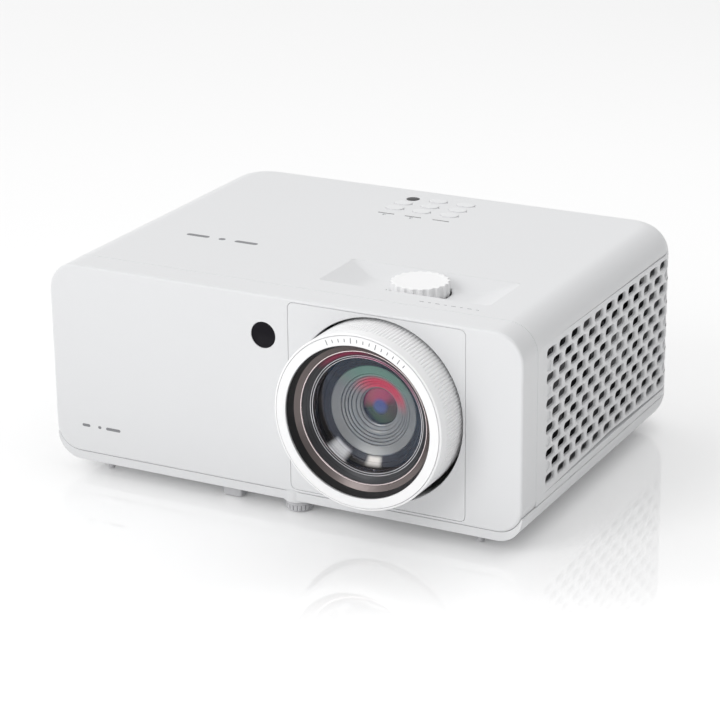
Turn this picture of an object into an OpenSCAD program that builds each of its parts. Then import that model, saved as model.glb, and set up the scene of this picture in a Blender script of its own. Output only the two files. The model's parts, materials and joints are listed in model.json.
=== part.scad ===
// Compact short-throw projector: white two-part case with a wrap-round front bezel, a
// vertically shifting lens with a knurled focus ring, and the optics, boards and fans inside.
// +X is the right-hand side seen from the front, -Y is the front, +Z is up.
// The origin is on the floor, at the middle of the footprint of case and lens together.

/* [Case] */
// Width of the case
body_w = 274; // [268:1:290]
// Depth of the case, front face to rear wall
body_d = 214; // [210:1:230]
// Height of the front face
face_h = 105.5; // [105:0.5:115]
// Height of the lip of the lower case that shows under the front face
lip_h = 5; // [4:0.5:6]
// Gap between the floor and the lower case
foot_h = 7; // [6:0.5:9]
// Wall thickness of the mouldings
wall = 2.5; // [2:0.1:3]
// Radius of the long top edges
top_r = 16; // [12:1:20]
// Radius of the long bottom edges, which end at the seam between the cases
base_r = 14; // [12:1:14]
// Plan radius of the two rear vertical corners
rear_r = 25; // [20:1:30]
// Depth of the front bezel round the sides
bezel_d = 17.5; // [16:0.5:20]

/* [Lens] */
// Sideways place of the lens axis
lens_x = 57; // [55:0.5:57]
// Height of the lens axis above the bottom edge of the front face
lens_up = 54.5; // [54:0.5:56]
// Outer radius of the focus ring
ring_r = 46.5; // [44:0.5:46.5]
// How far the lens stands out of the front face
lens_out = 22; // [20:0.5:24]
// Vertical travel of the lens on its carriage
shift_travel = 2.2; // [1:0.1:2.2]

/* [Lens shift dial] */
// Radius of the dial
dial_r = 15.3; // [14:0.1:16]
// Number of finger scallops round the dial
dial_scallops = 20; // [12:1:28]
// Depth of the dished recess in the top
well_depth = 5.5; // [4:0.5:6]

/* [Side vents] */
// Number of rows of vent holes
vent_rows = 11; // [5:2:11]
// Number of full holes in each row
vent_cols = 11; // [8:1:11]
// Spacing of the holes along a row
vent_pitch_y = 15.26; // [15:0.01:15.6]
// Spacing of the rows
vent_pitch_z = 6.73; // [6.5:0.01:6.8]
// Length of one hole
vent_l = 11.6; // [10:0.1:12]
// Height of one hole
vent_h = 4.6; // [4:0.1:5]

/* [Keys] */
// Length of a key cap
key_l = 10.5; // [9:0.5:11]
// Width of a key cap
key_w = 7; // [6:0.5:7]
// Travel of a key
key_travel = 0.8; // [0.4:0.1:1]

/* [Feet and mounts] */
// Radius of the adjusting feet
foot_r = 7.2; // [6:0.2:7.2]
// Radius of the threaded stud of a foot
stud_r = 5; // [4:0.5:5]
// Spacing of the ceiling-mount inserts across the case
mount_x = 180; // [160:5:190]
// Spacing of the ceiling-mount inserts front to back
mount_y = 120; // [100:5:130]
// Radius of the M4 insert bore
mount_hole_r = 1.65; // [1.6:0.05:2]

/* [Hidden] */
$fn = 48;
gap = 0.15;
fit = 0.05;
face_y = lens_out - (body_d + lens_out) / 2;
rear_y = face_y + body_d;
bezel_y = face_y + bezel_d;
base_z = foot_h;
seam_h = foot_h + base_r;
face_z = foot_h + lip_h;
top_z = face_z + face_h;
half_w = body_w / 2;
lens_z = face_z + lens_up;
lens_front_y = face_y - lens_out;
barrel_r = ring_r - 3.9;
mouth_r = ring_r - 6.3;
bezel_r = 14;
edge_r = 2;

// Lens panel in the front bezel
panel_x0 = 7;
panel_x1 = 106;
panel_z0 = face_z + 1.2;
panel_z1 = top_z - 1.8;
panel_r = 3;
panel_t = 3;
hole_r = ring_r + 1.1;
collar_t = 1.2;
collar_d = 15;

// Recess and dial in the top
well_x = [6.5, 103.5];
well_y = [face_y + 33.5, face_y + 72.5];
well_floor_x = [24, 87];
well_floor_y = [face_y + 37, face_y + 62];
well_floor_z = top_z - well_depth;
dial_x = 56;
dial_y = face_y + 52;
dial_h = 7.6;
dial_top = top_z + 1.1;
dial_cup_r = dial_r + 0.9;
dial_cup_z = well_floor_z - 5.5;
screw_r = 3;

// Keys, windows and lights on the top
key_xs = [-15.2, 1.4, 18.5];
key_ys = [face_y + 164.5, face_y + 175, face_y + 186];
key_clear = 0.3;
board_top = top_z - 12.5;
switch_h = 2.6;
ir_top = [-13.8, face_y + 183.8];
ir_top_r = 3.8;
ir_front = [-7.5, face_z + 83.7];
ir_front_r = 7;
light_y = face_y + 153.5;
light_w = 10;
light_h = 1;

// Side vents: first hole centre, top row height, and the window that the panel fills
vent_y0 = face_y + 35.2;
vent_top = face_z + 86.2;
vent_z0 = vent_top - (vent_rows - 1) * vent_pitch_z;
vent_t = 4.5;
vent_win_y = [face_y + 24, rear_y - 8];
vent_win_z = [vent_z0 - 6, vent_top + 6];
vent_bend_y = rear_y - rear_r;

// Rear input and output plate
io_x = [-92, 70];
io_z = [26, 60];
io_y = rear_y - 4;
io_t = 2;
port_z = 42;
inlet_x = -72;
inlet_w = 25;
inlet_h = 17;
port_tail = 14;
port_proud = 0.8;
port_clear = 0.2;
hdmi_xs = [54, 32];
hdmi_size = [16, 7];
usb_x = 12;
usb_size = [14, 7];
lan_x = -8;
lan_size = [16, 13.5];
serial_x = -32;
serial_size = [19, 11];
audio_x = -50;
audio_r = 4;
audio_bore_r = 1.8;

// Feet: front middle, rear left, rear right
foot_xy = [[7, face_y + 9], [-104, face_y + 190], [104, face_y + 190]];
foot_pad_h = 5.4;
stud_top = 22;
rear_boss_top = 25.5;
boss_r = 8.6;
boss_xy = [for (x = [-1, 1]) each [[x * (half_w - 5.2), bezel_y + 3.4], [x * 100, rear_y - 5.2]]];
screw_seat_z = base_z + 8;
peg_xy = [[-110, face_y + 11], [110, face_y + 11]];
rest_xy = [-32, face_y + 10];

// Fans behind the side vents
fan_size = 80;
fan_t = 15;
fan_hub_r = 16;
fan_z = 66;
fan_in_y = [-20];
fan_out_y = [-30, 54];
fan_x = 119.5;

// ---------------------------------------------------------------- shared shapes

// Rectangle centred on the origin with round corners
module round_rect(w, h, r) {
    square([w - 2 * r, h], center = true);
    square([w, h - 2 * r], center = true);
    for (sx = [-1, 1], sz = [-1, 1])
        translate([sx * (w / 2 - r), sz * (h / 2 - r)]) circle(r);
}

// Slot with round ends along the first axis
module stadium(l, w) {
    square([l - w, w], center = true);
    for (s = [-1, 1])
        translate([s * (l - w) / 2, 0]) circle(w / 2);
}

// A shape drawn in X and Z, run from y0 back to y1
module along_y(y0, y1) {
    translate([0, y1, 0]) rotate([90, 0, 0]) linear_extrude(y1 - y0) children();
}

// A shape drawn in Y and Z, run from x0 to x1
module along_x(x0, x1) {
    translate([x0, 0, 0]) rotate([90, 0, 90]) linear_extrude(x1 - x0) children();
}

module box(x, y, z) {
    translate([x[0], y[0], z[0]]) cube([x[1] - x[0], y[1] - y[0], z[1] - z[0]]);
}

// Round rod along Y between two depths
module rod_y(x, z, r, y0, y1) {
    translate([x, y1, z]) rotate([90, 0, 0]) cylinder(r = r, h = y1 - y0);
}

// Plan of the case, i inside its outer skin
module case_plan(i) {
    translate([i - half_w, face_y])
        square([body_w - 2 * i, body_d - rear_r]);
    translate([rear_r - half_w, face_y])
        square([body_w - 2 * rear_r, body_d - i]);
    for (s = [-1, 1]) translate([s * (half_w - rear_r), rear_y - rear_r]) circle(rear_r - i);
}

// Quarter of a round wall in the upper or lower outside corner of a profile
module quarter_wall(r, up) {
    intersection() {
        difference() {
            circle(r);
            circle(r - wall);
        }
        translate([0, up ? 0 : -r]) square([r, r]);
    }
}

// Wall profile of the upper case, measured outward from the rear corner's centre line
module upper_profile() {
    translate([rear_r - top_r, top_z - top_r]) quarter_wall(top_r, true);
    translate([rear_r - wall, seam_h + gap]) square([wall, top_z - top_r - seam_h - gap]);
    translate([0, top_z - wall]) square([rear_r - top_r, wall]);
}

// Wall profile of the lower case
module lower_profile() {
    intersection() {
        union() {
            translate([rear_r - base_r, seam_h]) quarter_wall(base_r, false);
            translate([0, base_z]) square([rear_r - base_r, wall]);
        }
        square([rear_r, seam_h - gap]);
    }
}

// The same profile down both sides, from y0 back to y1
module side_run(y0, y1) {
    for (s = [0, 1]) mirror([s, 0, 0])
        translate([half_w - rear_r, 0, 0]) along_y(y0, y1) children();
}

// A profile carried down both sides, round the rear corners and across the rear
module rim(y0) {
    bend_y = rear_y - rear_r;
    side_run(y0, bend_y) children();
    for (s = [0, 1]) mirror([s, 0, 0])
        translate([half_w - rear_r, bend_y, 0]) rotate_extrude(angle = 90) children();
    translate([rear_r - half_w, bend_y, 0]) rotate([90, 0, 90])
        linear_extrude(body_w - 2 * rear_r) children();
}

// ---------------------------------------------------------------- case

// Section of the front bezel, i inside its outer skin
module bezel_section(i) {
    for (s = [-1, 1]) {
        translate([s * (half_w - top_r), top_z - top_r]) circle(top_r - i);
        translate([s * (half_w - bezel_r), face_z + bezel_r]) circle(bezel_r - i);
    }
    translate([top_r - half_w, face_z + bezel_r])
        square([body_w - 2 * top_r, top_z - face_z - bezel_r - i]);
    translate([bezel_r - half_w, face_z + i])
        square([body_w - 2 * bezel_r, bezel_r]);
    translate([i - half_w, face_z + bezel_r])
        square([body_w - 2 * i, face_h - bezel_r - top_r]);
}

// Upright slot that the focus ring stands in, grown by g
module lens_slot(g) {
    drop = shift_travel + 0.4;
    translate([lens_x, lens_z + 0.2]) circle(hole_r + g);
    translate([lens_x, lens_z - drop]) circle(hole_r + g);
    translate([lens_x - hole_r - g, lens_z - drop]) square([2 * (hole_r + g), drop + 0.2]);
}

module panel_outline(g) {
    w = panel_x1 - panel_x0 + 2 * g;
    h = panel_z1 - panel_z0 + 2 * g;
    translate([(panel_x0 + panel_x1) / 2, (panel_z0 + panel_z1) / 2])
        round_rect(w, h, panel_r);
}

module front_bezel() {
    color([0.95, 0.95, 0.96]) difference() {
        union() {
            along_y(face_y + edge_r, bezel_y - gap) bezel_section(0);
            hull() {
                along_y(face_y + edge_r, face_y + edge_r + 0.1) bezel_section(0, $fn = 32);
                along_y(face_y + 0.6, face_y + 0.7) bezel_section(0.6, $fn = 32);
                along_y(face_y, face_y + 0.1) bezel_section(edge_r, $fn = 32);
            }
        }
        along_y(face_y + wall + 1, bezel_y + 1) bezel_section(wall);
        along_y(face_y - 1, bezel_y + 1) panel_outline(gap);
        rod_y(ir_front[0], ir_front[1], ir_front_r + fit, face_y - 1, bezel_y);
        translate([foot_xy[0][0], foot_xy[0][1], base_z]) cylinder(r = stud_r + 1, h = 16);
    }
}

module lens_panel() {
    color([0.94, 0.94, 0.95]) difference() {
        union() {
            along_y(face_y + 0.1, face_y + panel_t) panel_outline(0);
            along_y(face_y + panel_t, face_y + collar_d) lens_slot(collar_t);
        }
        along_y(face_y - 1, face_y + collar_d + 1) lens_slot(0);
    }
}

module front_ir_window() {
    color([0.02, 0.02, 0.025]) {
        rod_y(ir_front[0], ir_front[1], ir_front_r, face_y + 0.4, face_y + wall + 1);
        rod_y(ir_front[0], ir_front[1], ir_front_r + 1.2, face_y + wall + 1, face_y + 5);
    }
}

// Dished recess: a tray with four sloping sides, grown downward and outward by g
module well_tray(g) {
    hull() {
        box([well_x[0] - g, well_x[1] + g], [well_y[0] - g, well_y[1] + g], [top_z, top_z + 1]);
        box([well_floor_x[0] - g, well_floor_x[1] + g],
            [well_floor_y[0] - g, well_floor_y[1] + g],
            [well_floor_z - g, well_floor_z + 1]);
    }
}

function key_spots() = [for (i = [0:2], j = [0:2]) if (i > 0 || j < 2) [key_xs[i], key_ys[j]]];

module top_case() {
    color([0.94, 0.94, 0.95]) difference() {
        union() {
            rim(bezel_y + gap) upper_profile();
            box([rear_r - half_w, half_w - rear_r], [bezel_y + gap, rear_y - rear_r],
                [top_z - wall, top_z]);
            intersection() {
                well_tray(wall - 0.3);
                box([0, half_w], [bezel_y + gap, rear_y], [seam_h, top_z]);
            }
            translate([dial_x, dial_y, dial_cup_z - 2])
                cylinder(r = dial_cup_r + 2, h = well_floor_z - dial_cup_z + 1);
            for (b = boss_xy) translate([b[0], b[1], seam_h + gap]) cylinder(r = 3, h = 16);
        }
        well_tray(0);
        translate([dial_x, dial_y, dial_cup_z]) cylinder(r = dial_cup_r, h = 12);
        translate([dial_x, dial_y, dial_cup_z - 3]) cylinder(r = screw_r + fit, h = 5);
        for (k = key_spots())
            translate([k[0], k[1], top_z - 5])
                linear_extrude(8) stadium(key_l + 2 * key_clear, key_w + 2 * key_clear);
        translate([ir_top[0], ir_top[1], top_z - 5]) cylinder(r = ir_top_r + fit, h = 8);
        for (x = key_xs)
            translate([x, light_y, top_z - 5])
                linear_extrude(8) square([light_w + 0.1, light_h + 0.1], center = true);
        for (s = [0, 1]) mirror([s, 0, 0]) vent_window(0.05);
        box([io_x[0], io_x[1]], [rear_y - 8, rear_y + 1], io_z);
        for (b = boss_xy) translate([b[0], b[1], seam_h - 1]) cylinder(r = 1.2, h = 12);
    }
}

// Window that a side vent panel fills, cut square through the right-hand wall
module vent_window(g) {
    box([half_w - rear_r, half_w + 1],
        [vent_win_y[0] - g, vent_win_y[1] + g], [vent_win_z[0] - g, vent_win_z[1] + g]);
}

// One row of holes in Y and Z: full holes, and a half hole at one end
module vent_row(row) {
    z = vent_top - row * vent_pitch_z;
    odd = row % 2;
    shift = odd * vent_pitch_y / 2;
    for (i = [0:vent_cols - 1])
        if (vent_y0 + shift + i * vent_pitch_y < vent_bend_y + 2)
            translate([vent_y0 + shift + i * vent_pitch_y, z]) round_rect(vent_l, vent_h, 1.8);
    if (odd == 1)
        translate([vent_y0 - 2.9, z]) round_rect(vent_l / 2, vent_h, 1.8);
}

// Holes round the bent rear end, cut square to the skin
module vent_bend_holes() {
    for (row = [0:vent_rows - 1]) {
        odd = row % 2;
        for (k = [0:1]) {
            y = vent_y0 + (vent_cols - 1 + k + odd / 2) * vent_pitch_y;
            short = k == 1;
            turn = (y - vent_bend_y) * 180 / (PI * rear_r);
            if (y >= vent_bend_y + 2 && (k == 0 || odd == 0))
                translate([half_w - rear_r, vent_bend_y, vent_top - row * vent_pitch_z])
                    rotate([0, 0, turn]) along_x(rear_r - 8, rear_r + 3)
                        translate([short ? -3 : 0, 0])
                            round_rect(short ? vent_l / 2 : vent_l, vent_h, 1.8);
        }
    }
}

module vent_panel() {
    difference() {
        intersection() {
            difference() {
                linear_extrude(top_z) case_plan(0);
                linear_extrude(top_z) case_plan(vent_t);
            }
            vent_window(0);
        }
        along_x(half_w - 10, half_w + 1)
            for (row = [0:vent_rows - 1]) vent_row(row);
        vent_bend_holes();
    }
}

module vent_panel_right() {
    color([0.93, 0.93, 0.94]) vent_panel();
}

module vent_panel_left() {
    color([0.93, 0.93, 0.94]) mirror([1, 0, 0]) vent_panel();
}

// Section of the lower case, i inside its outer skin
module base_section(i) {
    for (s = [-1, 1]) translate([s * (half_w - base_r), seam_h]) circle(base_r - i);
    translate([base_r - half_w, base_z + i]) square([body_w - 2 * base_r, base_r - i]);
}

// What shows of the lower case under the bezel: a band that thins out up both corners
module lip_section(hollow) {
    difference() {
        base_section(0);
        bezel_section(-gap);
        translate([-half_w - 1, seam_h - gap]) square([body_w + 2, base_r + 1]);
        if (hollow) base_section(wall);
    }
}

module bottom_case() {
    lip_y = face_y + 0.8;
    flat_x = [rear_r - half_w, half_w - rear_r];
    color([0.95, 0.95, 0.96]) difference() {
        union() {
            rim(bezel_y + gap) lower_profile();
            along_y(lip_y + wall, bezel_y + gap) lip_section(true);
            along_y(lip_y, lip_y + wall) lip_section(false);
            box(flat_x, [bezel_y, rear_y - rear_r], [base_z, base_z + wall]);
            for (f = foot_xy)
                translate([f[0], f[1], foot_pad_h + 0.3])
                    cylinder(r = boss_r, h = face_z - gap - foot_pad_h - 0.3);
            for (f = [foot_xy[1], foot_xy[2]])
                translate([f[0], f[1], base_z]) cylinder(r = boss_r, h = rear_boss_top - base_z);
            translate([foot_xy[0][0], foot_xy[0][1] + 1, base_z])
                cylinder(r = boss_r - 1, h = face_z - gap - base_z);
            for (x = [-0.5, 0.5], y = [-0.5, 0.5])
                translate([x * mount_x, y * mount_y, base_z]) cylinder(r = 5, h = 12);
            for (b = boss_xy) intersection() {
                translate([b[0], b[1], base_z + 5])
                    cylinder(r = 3.4, h = seam_h - gap - base_z - 5);
                linear_extrude(seam_h) case_plan(4);
            }
        }
        for (f = foot_xy)
            translate([f[0], f[1], -1]) cylinder(r = stud_r + fit, h = stud_top + 2);
        for (x = [-0.5, 0.5], y = [-0.5, 0.5])
            translate([x * mount_x, y * mount_y, base_z - 1]) cylinder(r = 3, h = 9);
        for (b = boss_xy) translate([b[0], b[1], 0]) {
            cylinder(r = 1.7, h = seam_h + 1);
            cylinder(r = 3, h = screw_seat_z);
        }
        for (p = concat(peg_xy, [rest_xy]))
            translate([p[0], p[1], base_z - 1]) cylinder(r = 1.5, h = 3);
    }
}

// Hole in the rear plate for a socket body
module port_cutout(x, size, r) {
    translate([x, port_z]) round_rect(size[0] + port_clear, size[1] + port_clear, r);
}

module rear_io_plate() {
    color([0.2, 0.2, 0.21]) difference() {
        box([io_x[0] + 0.2, io_x[1] - 0.2], [io_y, io_y + io_t], [io_z[0] + 0.2, io_z[1] - 0.2]);
        along_y(io_y - 1, io_y + io_t + 1) {
            port_cutout(inlet_x, [inlet_w + 4, inlet_h + 4], 2);
            for (x = hdmi_xs) port_cutout(x, hdmi_size, 1);
            port_cutout(usb_x, usb_size, 0.6);
            port_cutout(lan_x, lan_size, 0.6);
            port_cutout(serial_x, serial_size, 1.5);
            translate([audio_x, port_z]) circle(audio_r + port_clear / 2);
        }
        for (x = [io_x[0] + 5, io_x[1] - 5])
            rod_y(x, io_z[1] - 5, 1.7, io_y - 1, io_y + io_t + 1);
    }
}

module top_ir_window() {
    color([0.02, 0.02, 0.025]) translate([ir_top[0], ir_top[1], 0]) {
        translate([0, 0, top_z - wall]) cylinder(r = ir_top_r, h = wall - 0.1);
        // a flat on the rim clears the key beside it
        translate([0, 0, top_z - wall - 1.5]) linear_extrude(1.5) intersection() {
            circle(ir_top_r + 1.5);
            translate([-ir_top_r * 2, -ir_top_r]) square(ir_top_r * 4);
        }
    }
}

module status_light_bars() {
    color([0.55, 0.56, 0.58]) for (x = key_xs)
        translate([x, light_y, top_z - wall - 1]) linear_extrude(wall + 0.9)
            square([light_w, light_h], center = true);
}

// ---------------------------------------------------------------- controls

module lens_shift_dial() {
    scallop_r = 1.5;
    color([0.94, 0.94, 0.95]) translate([dial_x, dial_y, 0]) {
        difference() {
            translate([0, 0, dial_top - dial_h]) cylinder(r = dial_r, h = dial_h);
            for (i = [0:dial_scallops - 1])
                rotate([0, 0, i * 360 / dial_scallops])
                    translate([dial_r + 0.8, 0, dial_top - dial_h - 1])
                        cylinder(r = scallop_r, h = dial_h + 2, $fn = 24);
        }
        translate([0, 0, lens_z + 33]) cylinder(r = screw_r, h = dial_top - dial_h - lens_z - 33);
    }
}

// Key cap with a retaining skirt and a plunger over its switch
module key(i, j) {
    skirt_z = top_z - wall - 1.4;
    plunger_z = board_top + switch_h + key_travel + 0.2;
    color([0.95, 0.95, 0.96]) translate([key_xs[i], key_ys[j], 0]) {
        translate([0, 0, skirt_z]) linear_extrude(top_z + 0.4 - skirt_z) stadium(key_l, key_w);
        translate([0, 0, skirt_z]) linear_extrude(1.2) stadium(key_l + 2.4, key_w + 2.2);
        translate([0, 0, plunger_z]) cylinder(r = 1.5, h = skirt_z - plunger_z);
    }
}

module key_a1() { key(0, 0); }
module key_a2() { key(0, 1); }
module key_b1() { key(1, 0); }
module key_b2() { key(1, 1); }
module key_b3() { key(1, 2); }
module key_c1() { key(2, 0); }
module key_c2() { key(2, 1); }
module key_c3() { key(2, 2); }

module keypad_board() {
    color([0.05, 0.3, 0.15]) {
        box([-26, 30], [key_ys[0] - 16, key_ys[2] + 8], [board_top - 1.6, board_top]);
        for (k = key_spots())
            box([k[0] - 3, k[0] + 3], [k[1] - 3, k[1] + 3], [board_top, board_top + switch_h]);
    }
}

module ir_receivers() {
    color([0.08, 0.08, 0.09]) {
        box([ir_top[0] - 3, ir_top[0] + 3], [ir_top[1] - 3, ir_top[1] + 3],
            [board_top, board_top + 6]);
        box([ir_front[0] - 3, ir_front[0] + 3], [face_y + 6, face_y + 11],
            [ir_front[1] - 3.5, ir_front[1] + 3.5]);
        box([ir_front[0] - 9, ir_front[0] + 9], [face_y + 11, face_y + 12.6],
            [ir_front[1] - 8, ir_front[1] + 8]);
    }
}

// ---------------------------------------------------------------- lens

// Ring about the lens axis from its radii and depths behind the front of the lens
module lens_tube(r_out, r_in, d0, d1) {
    difference() {
        rod_y(lens_x, lens_z, r_out, lens_front_y + d0, lens_front_y + d1);
        rod_y(lens_x, lens_z, r_in, lens_front_y + d0 - 1, lens_front_y + d1 + 1);
    }
}

// A profile of [radius, depth] points turned about the lens axis
module lens_turned() {
    translate([lens_x, lens_front_y, lens_z]) rotate([-90, 0, 0]) rotate_extrude()
        children();
}

module focus_ring() {
    color([0.93, 0.93, 0.94]) {
        lens_tube(ring_r, barrel_r + fit, 4, 28);
        lens_tube(ring_r, mouth_r + 0.2, 0.6, 4 - 0.3);
        lens_tube(ring_r, barrel_r + fit, 3.6, 4.1);
    }
}

module lens_name_ring() {
    color([0.94, 0.94, 0.95]) lens_tube(ring_r - 1.2, mouth_r, 0, 0.6);
}

module lens_baffle() {
    color([0.02, 0.02, 0.02]) lens_turned()
        polygon([[mouth_r - 0.3, 4.4], [mouth_r - 0.3, 4.9], [34, 9.5], [34, 8.9], [35.5, 7.4]]);
}

module lens_retainer() {
    color([0.12, 0.12, 0.13]) lens_turned()
        polygon([[34, 9.6], [34, 12], [30.6, 12], [30.6, 10.4], [31.6, 9.6]]);
}

// Points of a shallow spherical face from the axis out to the rim, as [radius, depth]
function dome(rim_r, bulge, depth, n) =
    let (r = (rim_r * rim_r + bulge * bulge) / (2 * bulge), a = asin(rim_r / r))
    [for (i = [0:n]) [r * sin(a * i / n), depth - bulge + r - r * cos(a * i / n)]];

function flipped(list) = [for (i = [len(list) - 1:-1:0]) list[i]];

// Element with a domed front and a hollow rear, from its rim radius, the depth of its
// edge, the two bulges and the edge thickness
module meniscus(rim_r, edge_d, front_bulge, rear_bulge, edge_t) {
    lens_turned() polygon(concat(dome(rim_r, front_bulge, edge_d, 14),
                                 flipped(dome(rim_r - 0.5, rear_bulge, edge_d + edge_t, 14))));
}

module front_lens() {
    color([0.6, 0.65, 0.7]) meniscus(30.5, 12, 5, 3.5, 4);
}

module inner_barrel() {
    color([0.05, 0.05, 0.05]) lens_turned()
        polygon([[34, 12.1], [34, 62], [20, 62], [20, 46], [17, 46], [17, 40], [21, 40],
                 [21, 30], [23, 30], [23, 26], [25.5, 26], [25.5, 21.5], [28, 21.5],
                 [28, 16.1], [30.6, 16.1], [30.6, 12.1]]);
}

module middle_lens() {
    color([0.35, 0.2, 0.35]) meniscus(20.9, 32, 4, 1.5, 5);
}

module rear_lens() {
    color([0.6, 0.65, 0.7]) meniscus(19.9, 50, 3, 1.2, 5);
}

module lens_barrel() {
    color([0.1, 0.1, 0.11]) {
        lens_tube(barrel_r, 34, 9.6, 34);
        lens_tube(barrel_r, 38.5, 6.2, 9.6);
        lens_tube(37, 34, 34, 62);
        lens_tube(37, 20, 62, 66);
        lens_tube(30, 20, 66, 98);
    }
}

// Slide plate that carries the lens up and down on two rods, with a nut for the dial's screw
module lens_carriage() {
    plate = [face_y + 49, face_y + 55];
    color([0.35, 0.36, 0.38]) difference() {
        union() {
            box([lens_x - 50, lens_x + 50], plate, [lens_z - 34, lens_z + 33]);
            box([dial_x - 7, dial_x + 7], [dial_y - 6, dial_y + 6], [lens_z + 31.5, lens_z + 37.5]);
        }
        rod_y(lens_x, lens_z, 30, plate[0] - 5, plate[1] + 5);
        translate([dial_x, dial_y, lens_z + 30.8]) cylinder(r = screw_r + fit, h = 12);
        for (s = [-1, 1])
            translate([lens_x + s * 44, dial_y, lens_z - 40]) cylinder(r = 2.5 + fit, h = 80);
    }
}

module guide_rods() {
    color([0.75, 0.76, 0.78]) for (s = [-1, 1])
        translate([lens_x + s * 44, dial_y, lens_z - 42]) cylinder(r = 2.5, h = 80);
}

module lens_mount() {
    plate = [face_y + 60, face_y + 66];
    color([0.7, 0.71, 0.73]) difference() {
        union() {
            box([lens_x - 50, lens_x + 50], plate, [lens_z - 44, lens_z + 37]);
            for (s = [-1, 1], z = [-44, 34])
                box([lens_x + s * 44 - 5, lens_x + s * 44 + 5], [face_y + 46, face_y + 60],
                    [lens_z + z, lens_z + z + 5]);
        }
        rod_y(lens_x, lens_z, 33, plate[0] - 5, plate[1] + 5);
        for (s = [-1, 1])
            translate([lens_x + s * 44, dial_y, lens_z - 42]) cylinder(r = 2.5, h = 80);
    }
}

// ---------------------------------------------------------------- light source and electronics

engine_y = [face_y + 66, face_y + 140];
wheel_x = lens_x - 51;
wheel_y = engine_y[0] + 26;
wheel_z = lens_z - 9;
wheel_r = 14;

module light_engine() {
    color([0.55, 0.56, 0.58]) difference() {
        union() {
            box([lens_x - 46, lens_x + 46], engine_y, [lens_z - 42, lens_z + 22]);
            box([lens_x - 38, lens_x + 38], [engine_y[0], engine_y[1] - 20],
                [lens_z + 22, lens_z + 37]);
            box([lens_x - 71, lens_x - 46], [engine_y[0] + 17, engine_y[1] - 10],
                [wheel_z - wheel_r - 5, wheel_z + wheel_r + 5]);
        }
        rod_y(lens_x, lens_z, 33, engine_y[0] - 1, engine_y[0] + 16);
        box([lens_x - 72, wheel_x + wheel_r + 1.5], [wheel_y - 5, wheel_y + 5],
            [wheel_z - wheel_r - 1.5, wheel_z + wheel_r + 1.5]);
    }
}

module wheel_motor() {
    color([0.3, 0.3, 0.32]) {
        rod_y(wheel_x, wheel_z, 9, wheel_y + 4, wheel_y + 5);
        rod_y(wheel_x, wheel_z, 7, wheel_y + 1.5, wheel_y + 4);
        rod_y(wheel_x, wheel_z, 1.5, wheel_y - 2, wheel_y + 1.5);
    }
}

module phosphor_wheel() {
    color([0.85, 0.75, 0.3]) difference() {
        union() {
            rod_y(wheel_x, wheel_z, wheel_r, wheel_y - 1.2, wheel_y - 0.2);
            rod_y(wheel_x, wheel_z, 5, wheel_y - 2, wheel_y + 1);
        }
        rod_y(wheel_x, wheel_z, 1.5 + fit, wheel_y - 3, wheel_y + 3);
    }
}

module laser_module() {
    color([0.5, 0.42, 0.3]) {
        box([lens_x - 42, lens_x + 42], [engine_y[1], engine_y[1] + 12],
            [lens_z - 36, lens_z + 18]);
        for (i = [0:3], j = [0:2])
            rod_y(lens_x - 27 + i * 18, lens_z - 25 + j * 16, 5,
                  engine_y[1] + 12, engine_y[1] + 14);
    }
}

// Base plate with upright fins; the fins start at the plate
module finned_block(x, y, z, base_t, fins) {
    box(x, [y[0], y[0] + base_t], z);
    step = (x[1] - x[0] - 1.2) / (fins - 1);
    for (i = [0:fins - 1])
        box([x[0] + i * step, x[0] + i * step + 1.2], [y[0] + base_t, y[1]], z);
}

module laser_heatsink() {
    color([0.72, 0.73, 0.75])
        finned_block([lens_x - 45, lens_x + 45], [engine_y[1] + 14, engine_y[1] + 48],
                     [lens_z - 5, lens_z + 36], 5, 18);
}

module imager_heatsink() {
    color([0.7, 0.71, 0.73])
        finned_block([lens_x - 30, lens_x + 30], [engine_y[1] - 19, engine_y[1] + 8],
                     [lens_z + 22, lens_z + 40], 3, 12);
}

module main_board() {
    board_z = port_z - (inlet_h + 4) / 2 - 0.1;
    color([0.04, 0.22, 0.12]) {
        box([-92, lens_x - 66], [face_y + 112, io_y - 1], [board_z - 1.6, board_z]);
        box([lens_x - 67, 84], [engine_y[1] + 26, io_y - 1], [board_z - 1.6, board_z]);
    }
    color([0.1, 0.1, 0.1]) {
        box([-70, -42], [20, 48], [board_z, board_z + 3]);
        box([-38, -22], [30, 46], [board_z, board_z + 2]);
        box([-88, -74], [26, 40], [board_z, board_z + 6]);
    }
}

module power_supply() {
    color([0.5, 0.45, 0.2])
        box([-100, -12], [face_y + 24, face_y + 106], [base_z + 12, base_z + 13.6]);
    color([0.15, 0.15, 0.3]) {
        for (i = [0:2])
            translate([-90 + i * 22, face_y + 40, base_z + 13.6]) cylinder(r = 9, h = 34);
        box([-92, -60], [face_y + 60, face_y + 92], [base_z + 13.6, base_z + 42]);
        box([-50, -24], [face_y + 62, face_y + 96], [base_z + 13.6, base_z + 34]);
    }
}

module speaker() {
    color([0.08, 0.08, 0.09]) {
        box([-118, -50], [face_y + 120, face_y + 150], [port_z + 20, port_z + 50]);
        rod_y(-84, port_z + 35, 13, face_y + 116, face_y + 120);
    }
}

// ---------------------------------------------------------------- fans

module fan_frame(x, y) {
    translate([x, y, fan_z]) difference() {
        box([-fan_t / 2, fan_t / 2], [-fan_size / 2, fan_size / 2], [-fan_size / 2, fan_size / 2]);
        rotate([0, 90, 0]) translate([0, 0, -fan_t]) cylinder(r = fan_size / 2 - 2, h = 2 * fan_t);
    }
    translate([x + (x > 0 ? -1 : 1) * (fan_t / 2 - 1), y, fan_z]) {
        rotate([0, 90, 0]) translate([0, 0, -1]) cylinder(r = fan_hub_r - 1, h = 2);
        for (a = [45:90:315])
            rotate([a, 0, 0]) box([-1, 1], [-1.5, 1.5], [fan_hub_r - 2, fan_size / 2 - 1]);
    }
}

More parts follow.
